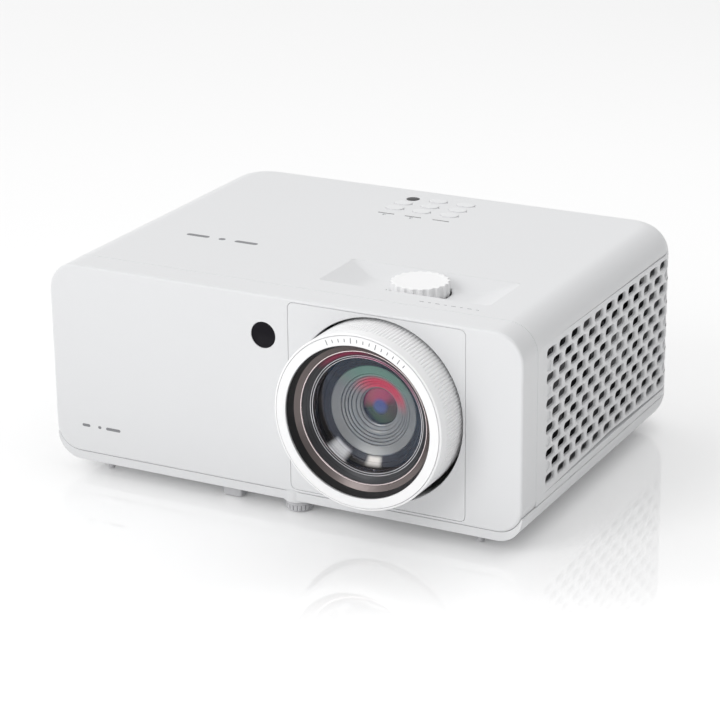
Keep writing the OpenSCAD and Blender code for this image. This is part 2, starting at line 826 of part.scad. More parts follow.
module fan_rotor(x, y) {
    in = x > 0 ? 1 : -1;
    translate([x + in * 1.2, y, fan_z]) {
        rotate([0, 90, 0]) translate([0, 0, -5]) cylinder(r = fan_hub_r, h = 10);
        for (a = [0:40:320])
            rotate([a, 0, 0]) rotate([0, 0, 40]) box([-0.6, 0.6], [-6, 6],
                [fan_hub_r - 1.5, fan_size / 2 - 3.5]);
    }
}

module fan_frames() {
    color([0.1, 0.1, 0.11]) {
        for (y = fan_in_y) fan_frame(-fan_x, y);
        for (y = fan_out_y) fan_frame(fan_x, y);
    }
}

module fan_rotor_intake() {
    color([0.12, 0.12, 0.13]) fan_rotor(-fan_x, fan_in_y[0]);
}

module fan_rotor_front() {
    color([0.12, 0.12, 0.13]) fan_rotor(fan_x, fan_out_y[0]);
}

module fan_rotor_rear() {
    color([0.12, 0.12, 0.13]) fan_rotor(fan_x, fan_out_y[1]);
}

// ---------------------------------------------------------------- rear sockets

port_y = io_y + io_t + port_proud;

// Socket body that stands just proud of the plate, hollow to the rear
module socket(x, size, wall_t, depth, r) {
    difference() {
        along_y(io_y - port_tail, port_y) translate([x, port_z]) round_rect(size[0], size[1], r);
        along_y(port_y - depth, port_y + 1)
            translate([x, port_z]) round_rect(size[0] - 2 * wall_t, size[1] - 2 * wall_t, r / 2);
    }
}

module power_inlet() {
    pin_y = [io_y + io_t - 17, io_y + io_t - 2];
    color([0.05, 0.05, 0.05])
        difference() {
            along_y(io_y - 20, port_y)
                translate([inlet_x, port_z]) round_rect(inlet_w + 4, inlet_h + 4, 2);
            along_y(port_y - 15.8, port_y + 1)
                translate([inlet_x, port_z]) round_rect(inlet_w, inlet_h, 2);
        }
    color([0.8, 0.8, 0.8]) {
        for (s = [-1, 1])
            box([inlet_x + s * 7 - 1, inlet_x + s * 7 + 1], pin_y, [port_z - 4, port_z]);
        box([inlet_x - 1, inlet_x + 1], pin_y, [port_z + 2, port_z + 6]);
    }
}

module hdmi_sockets() {
    color([0.7, 0.7, 0.72]) for (x = hdmi_xs) socket(x, hdmi_size, 0.8, 10, 0.8);
    color([0.05, 0.05, 0.05]) for (x = hdmi_xs)
        box([x - 6, x + 6], [io_y - 9, io_y + io_t - 1], [port_z - 0.6, port_z + 0.6]);
}

module usb_socket() {
    color([0.7, 0.7, 0.72]) socket(usb_x, usb_size, 0.5, 11, 0.4);
    color([0.9, 0.9, 0.95])
        box([usb_x - 5.6, usb_x + 5.6], [io_y - 9.5, io_y + io_t - 1], [port_z + 0.2, port_z + 2]);
}

module lan_socket() {
    color([0.7, 0.7, 0.72]) socket(lan_x, lan_size, 1.5, 12, 0.4);
    color([0.85, 0.7, 0.3]) for (i = [0:7])
        box([lan_x - 4 + i * 1.1, lan_x - 3.6 + i * 1.1], [io_y - 10.5, io_y + io_t - 4],
            [port_z + 3.8, port_z + 5.4]);
}

module serial_socket() {
    color([0.65, 0.65, 0.67]) socket(serial_x, serial_size, 1, 7, 1.5);
    color([0.85, 0.75, 0.4]) for (i = [0:4])
        rod_y(serial_x - 5.5 + i * 2.75, port_z + 1.4, 0.5, io_y - 5, io_y + io_t - 1);
    color([0.85, 0.75, 0.4]) for (i = [0:3])
        rod_y(serial_x - 4.1 + i * 2.75, port_z - 1.4, 0.5, io_y - 5, io_y + io_t - 1);
}

module audio_jack() {
    color([0.1, 0.35, 0.15]) difference() {
        rod_y(audio_x, port_z, audio_r, io_y - port_tail, port_y);
        rod_y(audio_x, port_z, audio_bore_r, io_y - 12, port_y + 1);
    }
}

// ---------------------------------------------------------------- feet, pegs and fasteners

module foot_stud(i) {
    color([0.75, 0.76, 0.78]) translate([foot_xy[i][0], foot_xy[i][1], foot_pad_h])
        cylinder(r = stud_r, h = stud_top - foot_pad_h);
}

module foot_pad(i) {
    color([0.9, 0.9, 0.9]) translate([foot_xy[i][0], foot_xy[i][1], 0]) {
        cylinder(r1 = foot_r - 0.6, r2 = foot_r, h = 0.8);
        translate([0, 0, 0.8]) cylinder(r = foot_r, h = foot_pad_h - 0.8);
    }
}

module front_foot_stud() { foot_stud(0); }
module front_foot_pad() { foot_pad(0); }
module rear_left_foot_stud() { foot_stud(1); }
module rear_left_foot_pad() { foot_pad(1); }
module rear_right_foot_stud() { foot_stud(2); }
module rear_right_foot_pad() { foot_pad(2); }

module front_rest_pegs() {
    color([0.9, 0.9, 0.9]) {
        for (p = peg_xy) translate([p[0], p[1], 0.5]) {
            cylinder(r = 1.8, h = base_z - 0.5);
            cylinder(r = 1.5, h = base_z + 1.5);
        }
        translate([rest_xy[0], rest_xy[1], 0]) {
            translate([-5.5, -4, 0.3]) cube([11, 8, base_z - 0.3]);
            translate([0, 0, 0.3]) cylinder(r = 1.5, h = base_z + 1.5);
        }
    }
}

module mount_inserts_and_screws() {
    color([0.8, 0.7, 0.35]) for (x = [-0.5, 0.5], y = [-0.5, 0.5])
        translate([x * mount_x, y * mount_y, base_z]) difference() {
            cylinder(r = 3, h = 8);
            translate([0, 0, -1]) cylinder(r = mount_hole_r, h = 10);
        }
    color([0.3, 0.3, 0.32]) for (b = boss_xy) translate([b[0], b[1], 0]) {
        translate([0, 0, screw_seat_z - 2]) cylinder(r = 2.7, h = 2);
        translate([0, 0, screw_seat_z - 1]) cylinder(r = 1.2, h = 15);
    }
}

front_bezel();
lens_panel();
front_ir_window();
top_case();
bottom_case();
vent_panel_right();
vent_panel_left();
rear_io_plate();
top_ir_window();
status_light_bars();
lens_shift_dial();
key_a1();
key_a2();
key_b1();
key_b2();
key_b3();
key_c1();
key_c2();
key_c3();
focus_ring();
lens_name_ring();
lens_baffle();
front_lens();
lens_retainer();
inner_barrel();
middle_lens();
rear_lens();
lens_barrel();
lens_carriage();
guide_rods();
lens_mount();
light_engine();
laser_module();
laser_heatsink();
wheel_motor();
phosphor_wheel();
imager_heatsink();
main_board();
power_supply();
keypad_board();
ir_receivers();
speaker();
fan_frames();
fan_rotor_intake();
fan_rotor_front();
fan_rotor_rear();
power_inlet();
hdmi_sockets();
usb_socket();
lan_socket();
serial_socket();
audio_jack();
front_foot_stud();
front_foot_pad();
rear_left_foot_stud();
rear_left_foot_pad();
rear_right_foot_stud();
rear_right_foot_pad();
front_rest_pegs();
mount_inserts_and_screws();
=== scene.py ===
import json
import math

import bmesh
import bpy
from mathutils import Matrix, Vector
from mathutils.geometry import delaunay_2d_cdt


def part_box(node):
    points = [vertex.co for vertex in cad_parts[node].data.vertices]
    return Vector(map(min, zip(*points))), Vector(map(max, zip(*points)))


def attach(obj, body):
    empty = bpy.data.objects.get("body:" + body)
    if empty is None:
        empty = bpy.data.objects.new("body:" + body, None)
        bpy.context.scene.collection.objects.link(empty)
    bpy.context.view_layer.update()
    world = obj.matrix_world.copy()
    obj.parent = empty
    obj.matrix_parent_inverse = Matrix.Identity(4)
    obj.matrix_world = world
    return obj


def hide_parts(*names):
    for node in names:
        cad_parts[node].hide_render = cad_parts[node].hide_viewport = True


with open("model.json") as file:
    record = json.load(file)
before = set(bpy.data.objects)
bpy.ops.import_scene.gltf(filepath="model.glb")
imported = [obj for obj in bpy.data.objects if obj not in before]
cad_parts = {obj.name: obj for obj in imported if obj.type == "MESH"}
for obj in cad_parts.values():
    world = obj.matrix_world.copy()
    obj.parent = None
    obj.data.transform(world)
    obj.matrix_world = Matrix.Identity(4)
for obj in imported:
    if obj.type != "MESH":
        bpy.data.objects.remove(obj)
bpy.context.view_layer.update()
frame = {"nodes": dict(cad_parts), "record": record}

# %% [markdown]
# ## Places
# Working in millimetres keeps the numbers readable, and one factor turns them into metres
# at the end. The places of the main parts come from the boxes of CAD nodes, so they follow
# the CAD model. Small features, such as slots, keys and marks, have sizes given here.
# %% Places in millimetres
MM = 0.001


def box_mm(node):
    """Lowest and highest corner of a CAD node, in millimetres."""
    low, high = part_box(node)
    return [c / MM for c in low], [c / MM for c in high]


def middle(node):
    """Middle of a CAD node's box, in millimetres."""
    low, high = box_mm(node)
    return [(a + b) / 2 for a, b in zip(low, high)]


bezel_low, bezel_high = box_mm("front_bezel")
case_low, case_high = box_mm("top_case")
panel_low, panel_high = box_mm("lens_panel")
ring_high = box_mm("focus_ring")[1]
vent_low, vent_high = box_mm("vent_panel_right")
dial_low, dial_high = box_mm("lens_shift_dial")
HALF_W = bezel_high[0]
FACE_Y = bezel_low[1]
FACE_Z = bezel_low[2]
TOP_Z = bezel_high[2]
REAR_Y = case_high[1]
GAP = 0.15
SEAM_Z = case_low[2] - GAP
BASE_Z = 1000 * next(m for m in frame["record"]["mounts"] if m["name"] == "ceiling_mount")["pos_m"][2]
LENS_X, _, LENS_Z = middle("focus_ring")
LENS_FRONT = box_mm("lens_name_ring")[0][1]
WALL = 2.5
TOP_R = 16
BASE_R = SEAM_Z - BASE_Z
REAR_R = 25
print("lens axis at", round(LENS_X, 2), round(LENS_Z, 2), "seam at", round(SEAM_Z, 2))

# %% [markdown]
# ## Mesh helpers
# A moulded case is mostly flat plates and swept corners. Boolean cuts would be quick, but
# they leave long thin triangles that shade badly on glossy plastic. So each skin is laid
# as rows of points joined by quads, and only truly flat areas are filled with triangles
# around their holes.
# %% Outlines


def arc(cx, cy, r, start, end, steps):
    """Points of an arc, angles in degrees."""
    turn = [math.radians(start + (end - start) * i / steps) for i in range(steps + 1)]
    return [(cx + r * math.cos(a), cy + r * math.sin(a)) for a in turn]


def round_rect(x0, x1, y0, y1, r, steps=5):
    """Closed outline with round corners, anticlockwise from the lower right."""
    radii = list(r) if isinstance(r, (list, tuple)) else [r] * 4
    radii = [max(a, 0.01) for a in radii]
    spots = [(x1, y0, 1, -1, -90), (x1, y1, 1, 1, 0), (x0, y1, -1, 1, 90), (x0, y0, -1, -1, 180)]
    points = []
    for (x, y, sx, sy, a), q in zip(spots, radii):
        points += arc(x - sx * q, y - sy * q, q, a, a + 90, steps)
    return points


def stadium(cx, cy, length, width, steps=10):
    """Slot with round ends along the first axis."""
    r = width / 2
    return round_rect(cx - length / 2, cx + length / 2, cy - r, cy + r, r - 0.001, steps)


def ring_points(cx, cy, r, steps=96):
    """Circle, anticlockwise, without a repeated last point."""
    return arc(cx, cy, r, 0, 360, steps)[:-1]


# %% A shape is rows of points


class Shape:
    """Points in millimetres and faces, which become one Blender object."""

    def __init__(self):
        self.points = []
        self.faces = []

    def row(self, points):
        """Adds points and returns their numbers."""
        first = len(self.points)
        self.points += [tuple(p) for p in points]
        return list(range(first, len(self.points)))

    def join(self, a, b, closed=True):
        """Quads between two rows of the same length."""
        count = len(a) if closed else len(a) - 1
        for i in range(count):
            k = (i + 1) % len(a)
            self.faces.append((a[i], a[k], b[k], b[i]))

    def loft(self, rows, closed=True):
        """Quads through a list of rows of points, and the rows' numbers."""
        numbers = [self.row(r) for r in rows]
        for a, b in zip(numbers, numbers[1:]):
            self.join(a, b, closed)
        return numbers

    def cap(self, points):
        """One face over a row of points."""
        self.faces.append(tuple(self.row(points)))

    def sheet(self, outline, holes, place, lines=()):
        """Triangles inside an outline and round convex holes; place turns (u, v) into a point."""
        spots, edges = [], []
        for loop in [outline] + list(holes):
            first = len(spots)
            spots += [Vector(p) for p in loop]
            edges += [(first + i, first + (i + 1) % len(loop)) for i in range(len(loop))]
        for line in lines:
            first = len(spots)
            spots += [Vector(p) for p in line]
            edges += [(first + i, first + i + 1) for i in range(len(line) - 1)]
        spots, _, faces, _, _, _ = delaunay_2d_cdt(spots, edges, [], 1, 1e-6)
        boxes = []
        for hole in holes:
            us = [p[0] for p in hole]
            vs = [p[1] for p in hole]
            boxes.append((min(us), max(us), min(vs), max(vs), hole))
        numbers = self.row([place(*p) for p in spots])
        for face in faces:
            u = sum(spots[i].x for i in face) / 3
            v = sum(spots[i].y for i in face) / 3
            if not any(in_hole(u, v, b) for b in boxes):
                self.faces.append(tuple(numbers[i] for i in face))


def in_hole(u, v, box):
    """True if a point is inside an anticlockwise convex hole, given as its box and outline."""
    u0, u1, v0, v1, hole = box
    if not (u0 < u < u1 and v0 < v < v1):
        return False
    pairs = zip(hole, hole[1:] + hole[:1])
    return all((c[0] - a[0]) * (v - a[1]) - (c[1] - a[1]) * (u - a[0]) > -1e-9 for a, c in pairs)


# %% From a shape to a piece


def piece(name, shape, material, body="root", instead=(), angle=32, solid=True):
    """Makes the object, welds it, shades it, and ties it to the CAD model."""
    mesh = bpy.data.meshes.new(name)
    mesh.from_pydata([[c * MM for c in p] for p in shape.points], [], shape.faces)
    work = bmesh.new()
    work.from_mesh(mesh)
    bmesh.ops.remove_doubles(work, verts=work.verts, dist=0.002 * MM)
    bmesh.ops.dissolve_degenerate(work, dist=0.0005 * MM, edges=work.edges)
    if solid:
        bmesh.ops.recalc_face_normals(work, faces=work.faces)
    work.to_mesh(mesh)
    work.free()
    mesh.shade_smooth()
    mesh.set_sharp_from_angle(angle=math.radians(angle))
    thing = bpy.data.objects.new(name, mesh)
    bpy.context.scene.collection.objects.link(thing)
    weigh = thing.modifiers.new("even shading", "WEIGHTED_NORMAL")
    weigh.keep_sharp = True
    mesh.materials.append(material)
    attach(thing, body)
    if instead:
        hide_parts(*instead)
    print(f"{name}: {len(mesh.polygons)} faces")
    return thing


# %% [markdown]
# ## Shared finishes
# Real moulded plastic isn't one flat colour. Its tool leaves a fine grain, handling leaves
# faint rubbed patches that change the gloss, and dust settles in corners. Each effect is a
# node group, built once and placed in every material with its own values. The groups put
# out only heights and masks, and the shader itself stays in each material.
# %% Group makers


def new_group(name, inputs, outputs):
    """An empty shader group with float inputs and the named outputs."""
    tree = bpy.data.node_groups.new(name, "ShaderNodeTree")
    for label, value in inputs.items():
        socket = tree.interface.new_socket(label, in_out="INPUT", socket_type="NodeSocketFloat")
        socket.default_value = value
    for label, kind in outputs.items():
        tree.interface.new_socket(label, in_out="OUTPUT", socket_type=kind)
    return tree, tree.nodes.new("NodeGroupInput"), tree.nodes.new("NodeGroupOutput")


def math_node(tree, operation, first, second=None):
    """A Math node whose inputs are sockets or numbers. Gives its output socket."""
    node = tree.nodes.new("ShaderNodeMath")
    node.operation = operation
    for slot_number, value in enumerate([first, second]):
        if value is None:
            continue
        if isinstance(value, (int, float)):
            node.inputs[slot_number].default_value = value
        else:
            tree.links.new(value, node.inputs[slot_number])
    return node.outputs[0]


def noise_node(tree, scale, detail=2, stretch=None):
    """Noise over the object's own coordinates, in metres. Gives its output socket."""
    where = tree.nodes.new("ShaderNodeTexCoord").outputs["Object"]
    if stretch:
        squeeze = tree.nodes.new("ShaderNodeMapping")
        squeeze.inputs["Scale"].default_value = stretch
        tree.links.new(where, squeeze.inputs["Vector"])
        where = squeeze.outputs[0]
    noise = tree.nodes.new("ShaderNodeTexNoise")
    noise.inputs["Detail"].default_value = detail
    if isinstance(scale, (int, float)):
        noise.inputs["Scale"].default_value = scale
    else:
        tree.links.new(scale, noise.inputs["Scale"])
    tree.links.new(where, noise.inputs["Vector"])
    return noise.outputs["Fac"]


# %% Mould grain: the fine texture of the tool


def make_mould_grain():
    """Height of a fine random grain, and a slow drift of tone."""
    sockets = {"Grain per metre": 2500.0, "Coarse share": 0.4}
    tree, given, out = new_group("mould_grain", sockets,
                                 {"Height": "NodeSocketFloat", "Tone": "NodeSocketFloat"})
    fine = noise_node(tree, given.outputs[0], 3)
    coarse = noise_node(tree, math_node(tree, "MULTIPLY", given.outputs[0], 0.3), 2)
    mixed = math_node(tree, "MULTIPLY", coarse, given.outputs[1])
    tree.links.new(math_node(tree, "ADD", fine, mixed), out.inputs["Height"])
    tree.links.new(noise_node(tree, 9.0, 2), out.inputs["Tone"])
    return tree


mould_grain = make_mould_grain()

# %% Rubbed gloss: faint patches where hands and cloths have been


def make_rubbed_gloss():
    """Roughness that drifts by a set amount either side of a set middle."""
    tree, given, out = new_group("rubbed_gloss", {"Middle": 0.35, "Spread": 0.05},
                                 {"Roughness": "NodeSocketFloat"})
    drift = math_node(tree, "SUBTRACT", noise_node(tree, 22.0, 4), 0.5)
    smear = math_node(tree, "SUBTRACT", noise_node(tree, 90.0, 2, (1, 1, 0.2)), 0.5)
    both = math_node(tree, "ADD", drift, math_node(tree, "MULTIPLY", smear, 0.5))
    shifted = math_node(tree, "MULTIPLY", both, given.outputs["Spread"])
    tree.links.new(math_node(tree, "ADD", shifted, given.outputs["Middle"]), out.inputs[0])
    return tree


rubbed_gloss = make_rubbed_gloss()

# %% Corner dust: what settles in inside corners


def make_corner_dust():
    """Mask that is one in tight inside corners and zero on open faces."""
    tree, given, out = new_group("corner_dust", {"Amount": 0.3}, {"Mask": "NodeSocketFloat"})
    shape = tree.nodes.new("ShaderNodeNewGeometry")
    spread = tree.nodes.new("ShaderNodeMapRange")
    spread.inputs["From Min"].default_value = 0.5
    spread.inputs["From Max"].default_value = 0.44
    tree.links.new(shape.outputs["Pointiness"], spread.inputs["Value"])
    patchy = math_node(tree, "MULTIPLY", spread.outputs[0], noise_node(tree, 400.0, 3))
    tree.links.new(math_node(tree, "MULTIPLY", patchy, given.outputs["Amount"]), out.inputs[0])
    return tree


corner_dust = make_corner_dust()

# %% Tool marks: the straight grain of brushed or extruded metal


def make_tool_marks():
    """Height and tone of long fine scratches along X."""
    tree, given, out = new_group("tool_marks", {"Marks per metre": 1500.0},
                                 {"Height": "NodeSocketFloat", "Tone": "NodeSocketFloat"})
    lines = noise_node(tree, given.outputs[0], 2, (0.02, 1, 1))
    tree.links.new(lines, out.inputs["Height"])
    tree.links.new(lines, out.inputs["Tone"])
    return tree


tool_marks = make_tool_marks()
print("shader groups:", [g.name for g in bpy.data.node_groups])

# %% [markdown]
# ## One maker for most materials
# Nearly every part is plain plastic or bare metal, so one function wires the shared groups
# into a Principled BSDF. What differs is the colour, the gloss, and which grain the
# process leaves. Anything special, such as the coated glass, is added afterwards by name.
# %% Material maker


def group_node(tree, group, **values):
    """Places a shared group and sets its inputs."""
    node = tree.nodes.new("ShaderNodeGroup")
    node.node_tree = group
    for label, value in values.items():
        node.inputs[label.replace("_", " ")].default_value = value
    return node


def tint(tree, fac, dark, light):
    """A colour that runs between two as a mask runs from 0 to 1."""
    mix = tree.nodes.new("ShaderNodeMix")
    mix.data_type = "RGBA"
    mix.inputs["A"].default_value = (*dark, 1)
    mix.inputs["B"].default_value = (*light, 1)
    tree.links.new(fac, mix.inputs["Factor"])
    return mix.outputs["Result"]


def finish(name, colour, gloss, spread=0.05, grain=2500.0, depth=0.02, metal=0.0, brushed=False,
           drift=0.03, dust=0.15, coat=0.0):
    """Material with grain, rubbed gloss and corner dust. depth is the grain in millimetres."""
    material = bpy.data.materials.new(name)
    material.use_nodes = True
    tree = material.node_tree
    shader = tree.nodes["Principled BSDF"]
    shader.inputs["Metallic"].default_value = metal
    shader.inputs["Coat Weight"].default_value = coat
    shader.inputs["Coat Roughness"].default_value = 0.08
    if brushed:
        marks = group_node(tree, tool_marks, Marks_per_metre=grain)
    else:
        marks = group_node(tree, mould_grain, Grain_per_metre=grain)
    low = [c * (1 - drift) for c in colour]
    high = [min(c * (1 + drift), 1) for c in colour]
    clean = tint(tree, marks.outputs["Tone"], low, high)
    dirt = group_node(tree, corner_dust, Amount=dust)
    mix = tree.nodes.new("ShaderNodeMix")
    mix.data_type = "RGBA"
    mix.inputs["B"].default_value = (*[0.35 + 0.4 * c for c in colour], 1)
    tree.links.new(clean, mix.inputs["A"])
    tree.links.new(dirt.outputs["Mask"], mix.inputs["Factor"])
    tree.links.new(mix.outputs["Result"], shader.inputs["Base Color"])
    rub = group_node(tree, rubbed_gloss, Middle=gloss, Spread=spread)
    tree.links.new(rub.outputs[0], shader.inputs["Roughness"])
    bump = tree.nodes.new("ShaderNodeBump")
    bump.inputs["Strength"].default_value = 0.35
    bump.inputs["Distance"].default_value = depth * MM
    tree.links.new(marks.outputs["Height"], bump.inputs["Height"])
    tree.links.new(bump.outputs["Normal"], shader.inputs["Normal"])
    return material


# %% Plastics
case_white = finish("case_white", (0.735, 0.74, 0.75), 0.36, 0.06, 3200.0, 0.006, drift=0.008)
panel_white = finish("panel_white", (0.74, 0.745, 0.755), 0.45, 0.05, 3600.0, 0.012, drift=0.008)
# A whiter copy of the case white for the focus ring, its name ring and the dial; the extra whiteness
# is painted light.
ring_white = finish("ring_white", (0.9, 0.9, 0.905), 0.34, 0.06, 4200.0, 0.006, drift=0.01)
key_white = finish("key_white", (0.76, 0.765, 0.775), 0.30, 0.05, 4200.0, 0.004, drift=0.006)
foot_white = finish("foot_white", (0.55, 0.55, 0.565), 0.5, 0.08, 1800.0, 0.02)
window_black = finish("window_black", (0.004, 0.003, 0.006), 0.1, 0.02, 900.0, 0.0005)
window_black.node_tree.nodes["Principled BSDF"].inputs["Specular IOR Level"].default_value = 0.12
light_grey_window = finish("light_grey_window", (0.08, 0.082, 0.086), 0.22, 0.05, 2500.0, 0.003)
# Grey of the printed marks, also used for the painted shade dots at the keys' ends.
print_grey = finish("print_grey", (0.22, 0.225, 0.235), 0.5, 0.05, 6000.0, 0.002)
lens_black = finish("lens_black", (0.012, 0.012, 0.013), 0.55, 0.08, 5200.0, 0.02)
finish("io_grey", (0.03, 0.031, 0.033), 0.55, 0.1, 1500.0, 0.06)
finish("socket_black", (0.012, 0.012, 0.013), 0.35, 0.1, 2400.0, 0.02)
finish("jack_green", (0.06, 0.32, 0.12), 0.35, 0.08, 2400.0, 0.01)
finish("fan_black", (0.014, 0.014, 0.016), 0.32, 0.1, 1600.0, 0.02, dust=0.7)
finish("board_parts", (0.03, 0.03, 0.034), 0.4, 0.15, 700.0, 0.05, drift=0.3)

# %% Metals
finish("lens_metal_black", (0.05, 0.05, 0.055), 0.26, 0.06, 2400.0, 0.01, 0.9)
finish("die_cast", (0.48, 0.49, 0.51), 0.42, 0.15, 700.0, 0.12, 1.0, drift=0.1)
finish("heatsink_aluminium", (0.72, 0.73, 0.75), 0.3, 0.1, 2600.0, 0.02, 1.0, brushed=True,
       drift=0.06)
bright_steel = finish("bright_steel", (0.62, 0.62, 0.64), 0.2, 0.08, 3800.0, 0.008, 1.0,
                      brushed=True, drift=0.08)
finish("copper_plate", (0.72, 0.38, 0.22), 0.28, 0.1, 1800.0, 0.02, 1.0, brushed=True, drift=0.1)
finish("socket_metal", (0.62, 0.61, 0.58), 0.22, 0.08, 3000.0, 0.006, 1.0)
finish("insert_brass", (0.7, 0.5, 0.2), 0.3, 0.1, 2800.0, 0.03, 1.0)
print("materials so far:", len(bpy.data.materials))

# %% [markdown]
# ## Circuit boards and the phosphor wheel
# A board is green solder resist over copper tracks, so a stepped pattern lightens thin
# lanes. The phosphor wheel is a disc with a yellow band, and the band follows the
# distance from its own axle, which a gradient measured from that centre gives directly.
# %% Board and phosphor


def add_tracks(material, copper, amount):
    """Lays copper lanes over a board's colour."""
    tree = material.node_tree
    shader = tree.nodes["Principled BSDF"]
    under = shader.inputs["Base Color"].links[0].from_socket
    where = tree.nodes.new("ShaderNodeTexCoord").outputs["Object"]
    lanes = tree.nodes.new("ShaderNodeTexBrick")
    lanes.inputs["Scale"].default_value = 130.0
    lanes.inputs["Mortar Size"].default_value = 0.03
    lanes.inputs["Color1"].default_value = (0, 0, 0, 1)
    lanes.inputs["Color2"].default_value = (0.1, 0.1, 0.1, 1)
    lanes.inputs["Mortar"].default_value = (1, 1, 1, 1)
    tree.links.new(where, lanes.inputs["Vector"])
    mix = tree.nodes.new("ShaderNodeMix")
    mix.data_type = "RGBA"
    mix.inputs["B"].default_value = (*copper, 1)
    share = math_node(tree, "MULTIPLY", lanes.outputs["Color"], amount)
    tree.links.new(share, mix.inputs["Factor"])
    tree.links.new(under, mix.inputs["A"])
    tree.links.new(mix.outputs["Result"], shader.inputs["Base Color"])


board_green = finish("board_green", (0.012, 0.11, 0.05), 0.3, 0.1, 500.0, 0.03, drift=0.2)
add_tracks(board_green, (0.08, 0.3, 0.12), 0.8)


def add_band(material, centre, colour, inner, outer):
    """Colours a ring round an axle that points along Y. Sizes in millimetres."""
    tree = material.node_tree
    shader = tree.nodes["Principled BSDF"]
    under = shader.inputs["Base Color"].links[0].from_socket
    apart = tree.nodes.new("ShaderNodeVectorMath")
    apart.operation = "DISTANCE"
    apart.inputs[1].default_value = [c * MM for c in centre]
    tree.links.new(tree.nodes.new("ShaderNodeTexCoord").outputs["Object"], apart.inputs[0])
    far = apart.outputs["Value"]
    inside = math_node(tree, "GREATER_THAN", far, inner * MM)
    share = math_node(tree, "MULTIPLY", inside, math_node(tree, "LESS_THAN", far, outer * MM))
    mix = tree.nodes.new("ShaderNodeMix")
    mix.data_type = "RGBA"
    mix.inputs["B"].default_value = (*colour, 1)
    tree.links.new(share, mix.inputs["Factor"])
    tree.links.new(under, mix.inputs["A"])
    tree.links.new(mix.outputs["Result"], shader.inputs["Base Color"])


phosphor = finish("phosphor", (0.7, 0.7, 0.72), 0.3, 0.08, 2500.0, 0.01, 0.6)
add_band(phosphor, middle("phosphor_wheel"), (0.75, 0.6, 0.06), 9, 13)

# %% [markdown]
# ## Coated glass
# Lens glass shows colour only in its reflections. Layers a fraction of a wavelength thick
# turn them green, magenta or amber. The Principled shader has a thin film for this, so
# each element gets its own film thickness, and stays plain clear glass underneath.
# %% Glass maker


def coated_glass(name, film, index, tinted=(1, 1, 1)):
    """Clear glass with an anti-reflection film, its thickness in nanometres."""
    material = bpy.data.materials.new(name)
    material.use_nodes = True
    tree = material.node_tree
    shader = tree.nodes["Principled BSDF"]
    shader.inputs["Metallic"].default_value = 0.0
    shader.inputs["Transmission Weight"].default_value = 1.0
    shader.inputs["IOR"].default_value = index
    shader.inputs["Thin Film Thickness"].default_value = film
    shader.inputs["Thin Film IOR"].default_value = 1.38
    wipe = noise_node(tree, 60.0, 4)
    tree.links.new(tint(tree, wipe, [c * 0.97 for c in tinted], tinted), shader.inputs["Base Color"])
    shader.inputs["Roughness"].default_value = 0.0
    return material


front_glass = coated_glass("front_glass", 150.0, 1.52)
rear_glass = coated_glass("rear_glass", 500.0, 1.5, (0.7, 0.7, 0.9))
print("glass films:", [m.name for m in (front_glass, rear_glass)])

# %% [markdown]
# ## Front bezel
# The bezel is one moulding that wraps 17 mm round the sides. It could be a cube with a
# bevel, but its corners have two different radii and its front edge a third. Sweeping one
# outline back through a quarter-round of insets gives all three exactly, and the flat face
# is then filled round the openings for the lens panel and the remote-control window.
# %% Bezel
EDGE_R = 1.5
SOFT = 0.3
IR_X, _, IR_Z = middle("front_ir_window")
IR_R = 7.0


def at_y(points, y):
    """Stands (x, z) points up at a depth."""
    return [(x, y, z) for x, z in points]


def bezel_outline(inset):
    """Outline of the bezel, inset from its skin."""
    return round_rect(inset - HALF_W, HALF_W - inset, FACE_Z + inset, TOP_Z - inset,
                      (14 - inset, TOP_R - inset, TOP_R - inset, 14 - inset), 14)


def quarter(r, steps=6):
    """Inset and depth down a quarter-round edge, from the face to the side."""
    turn = [math.radians(90 * i / steps) for i in range(steps + 1)]
    return [(r - r * math.sin(a), r - r * math.cos(a)) for a in turn]


panel_x = (panel_low[0], panel_high[0])
panel_z = (FACE_Z + EDGE_R + 0.45, TOP_Z - EDGE_R - 0.45)


def panel_outline(grow):
    """Outline of the lens panel, grown outward."""
    return round_rect(panel_x[0] - grow, panel_x[1] + grow, panel_z[0] - grow, panel_z[1] + grow,
                      3 + grow, 6)


def hole_rows(outline, front, back, soft=SOFT):
    """Rows of a hole with a softened front edge; outline(grow) gives its shape."""
    rows = [at_y(outline(inset), front + depth) for inset, depth in quarter(soft, 3)]
    return rows + [at_y(outline(0), back)]


def make_bezel():
    """Bezel as a closed shell with two openings."""
    bezel = Shape()
    back, inner = bezel_high[1], FACE_Y + 3.5
    rows = [at_y(bezel_outline(i), FACE_Y + d) for i, d in quarter(EDGE_R)]
    rows += [at_y(bezel_outline(i), back - d) for i, d in reversed(quarter(SOFT, 3))]
    rows += [at_y(bezel_outline(WALL), back), at_y(bezel_outline(WALL), inner)]
    bezel.loft(rows)
    openings = [lambda g: panel_outline(g + GAP),
                lambda g: ring_points(IR_X, IR_Z, IR_R + 0.05 + g, 64)]
    for outline in openings:
        bezel.loft(hole_rows(outline, FACE_Y, inner))
    bezel.sheet(bezel_outline(EDGE_R), [o(SOFT) for o in openings], lambda x, z: (x, FACE_Y, z))
    bezel.sheet(bezel_outline(WALL), [o(0) for o in openings], lambda x, z: (x, inner, z))
    return piece("bezel", bezel, case_white, instead=["front_bezel"])


make_bezel()

# %% [markdown]
# ## Lens panel
# A separate square panel fills the bezel's opening, so that the same case can take other
# lenses. Its hole is slightly taller than it is wide, because the lens rides up and down
# behind it, and a collar runs back to hide the inside.
# %% Lens panel
SLOT_R = 47.6
SLOT_LOW = LENS_Z - 2.6
SLOT_HIGH = LENS_Z + 0.2


def slot_outline(grow):
    """Upright slot that the focus ring stands in."""
    r = SLOT_R + grow
    return round_rect(LENS_X - r, LENS_X + r, SLOT_LOW - r, SLOT_HIGH + r, r - 0.001, 28)


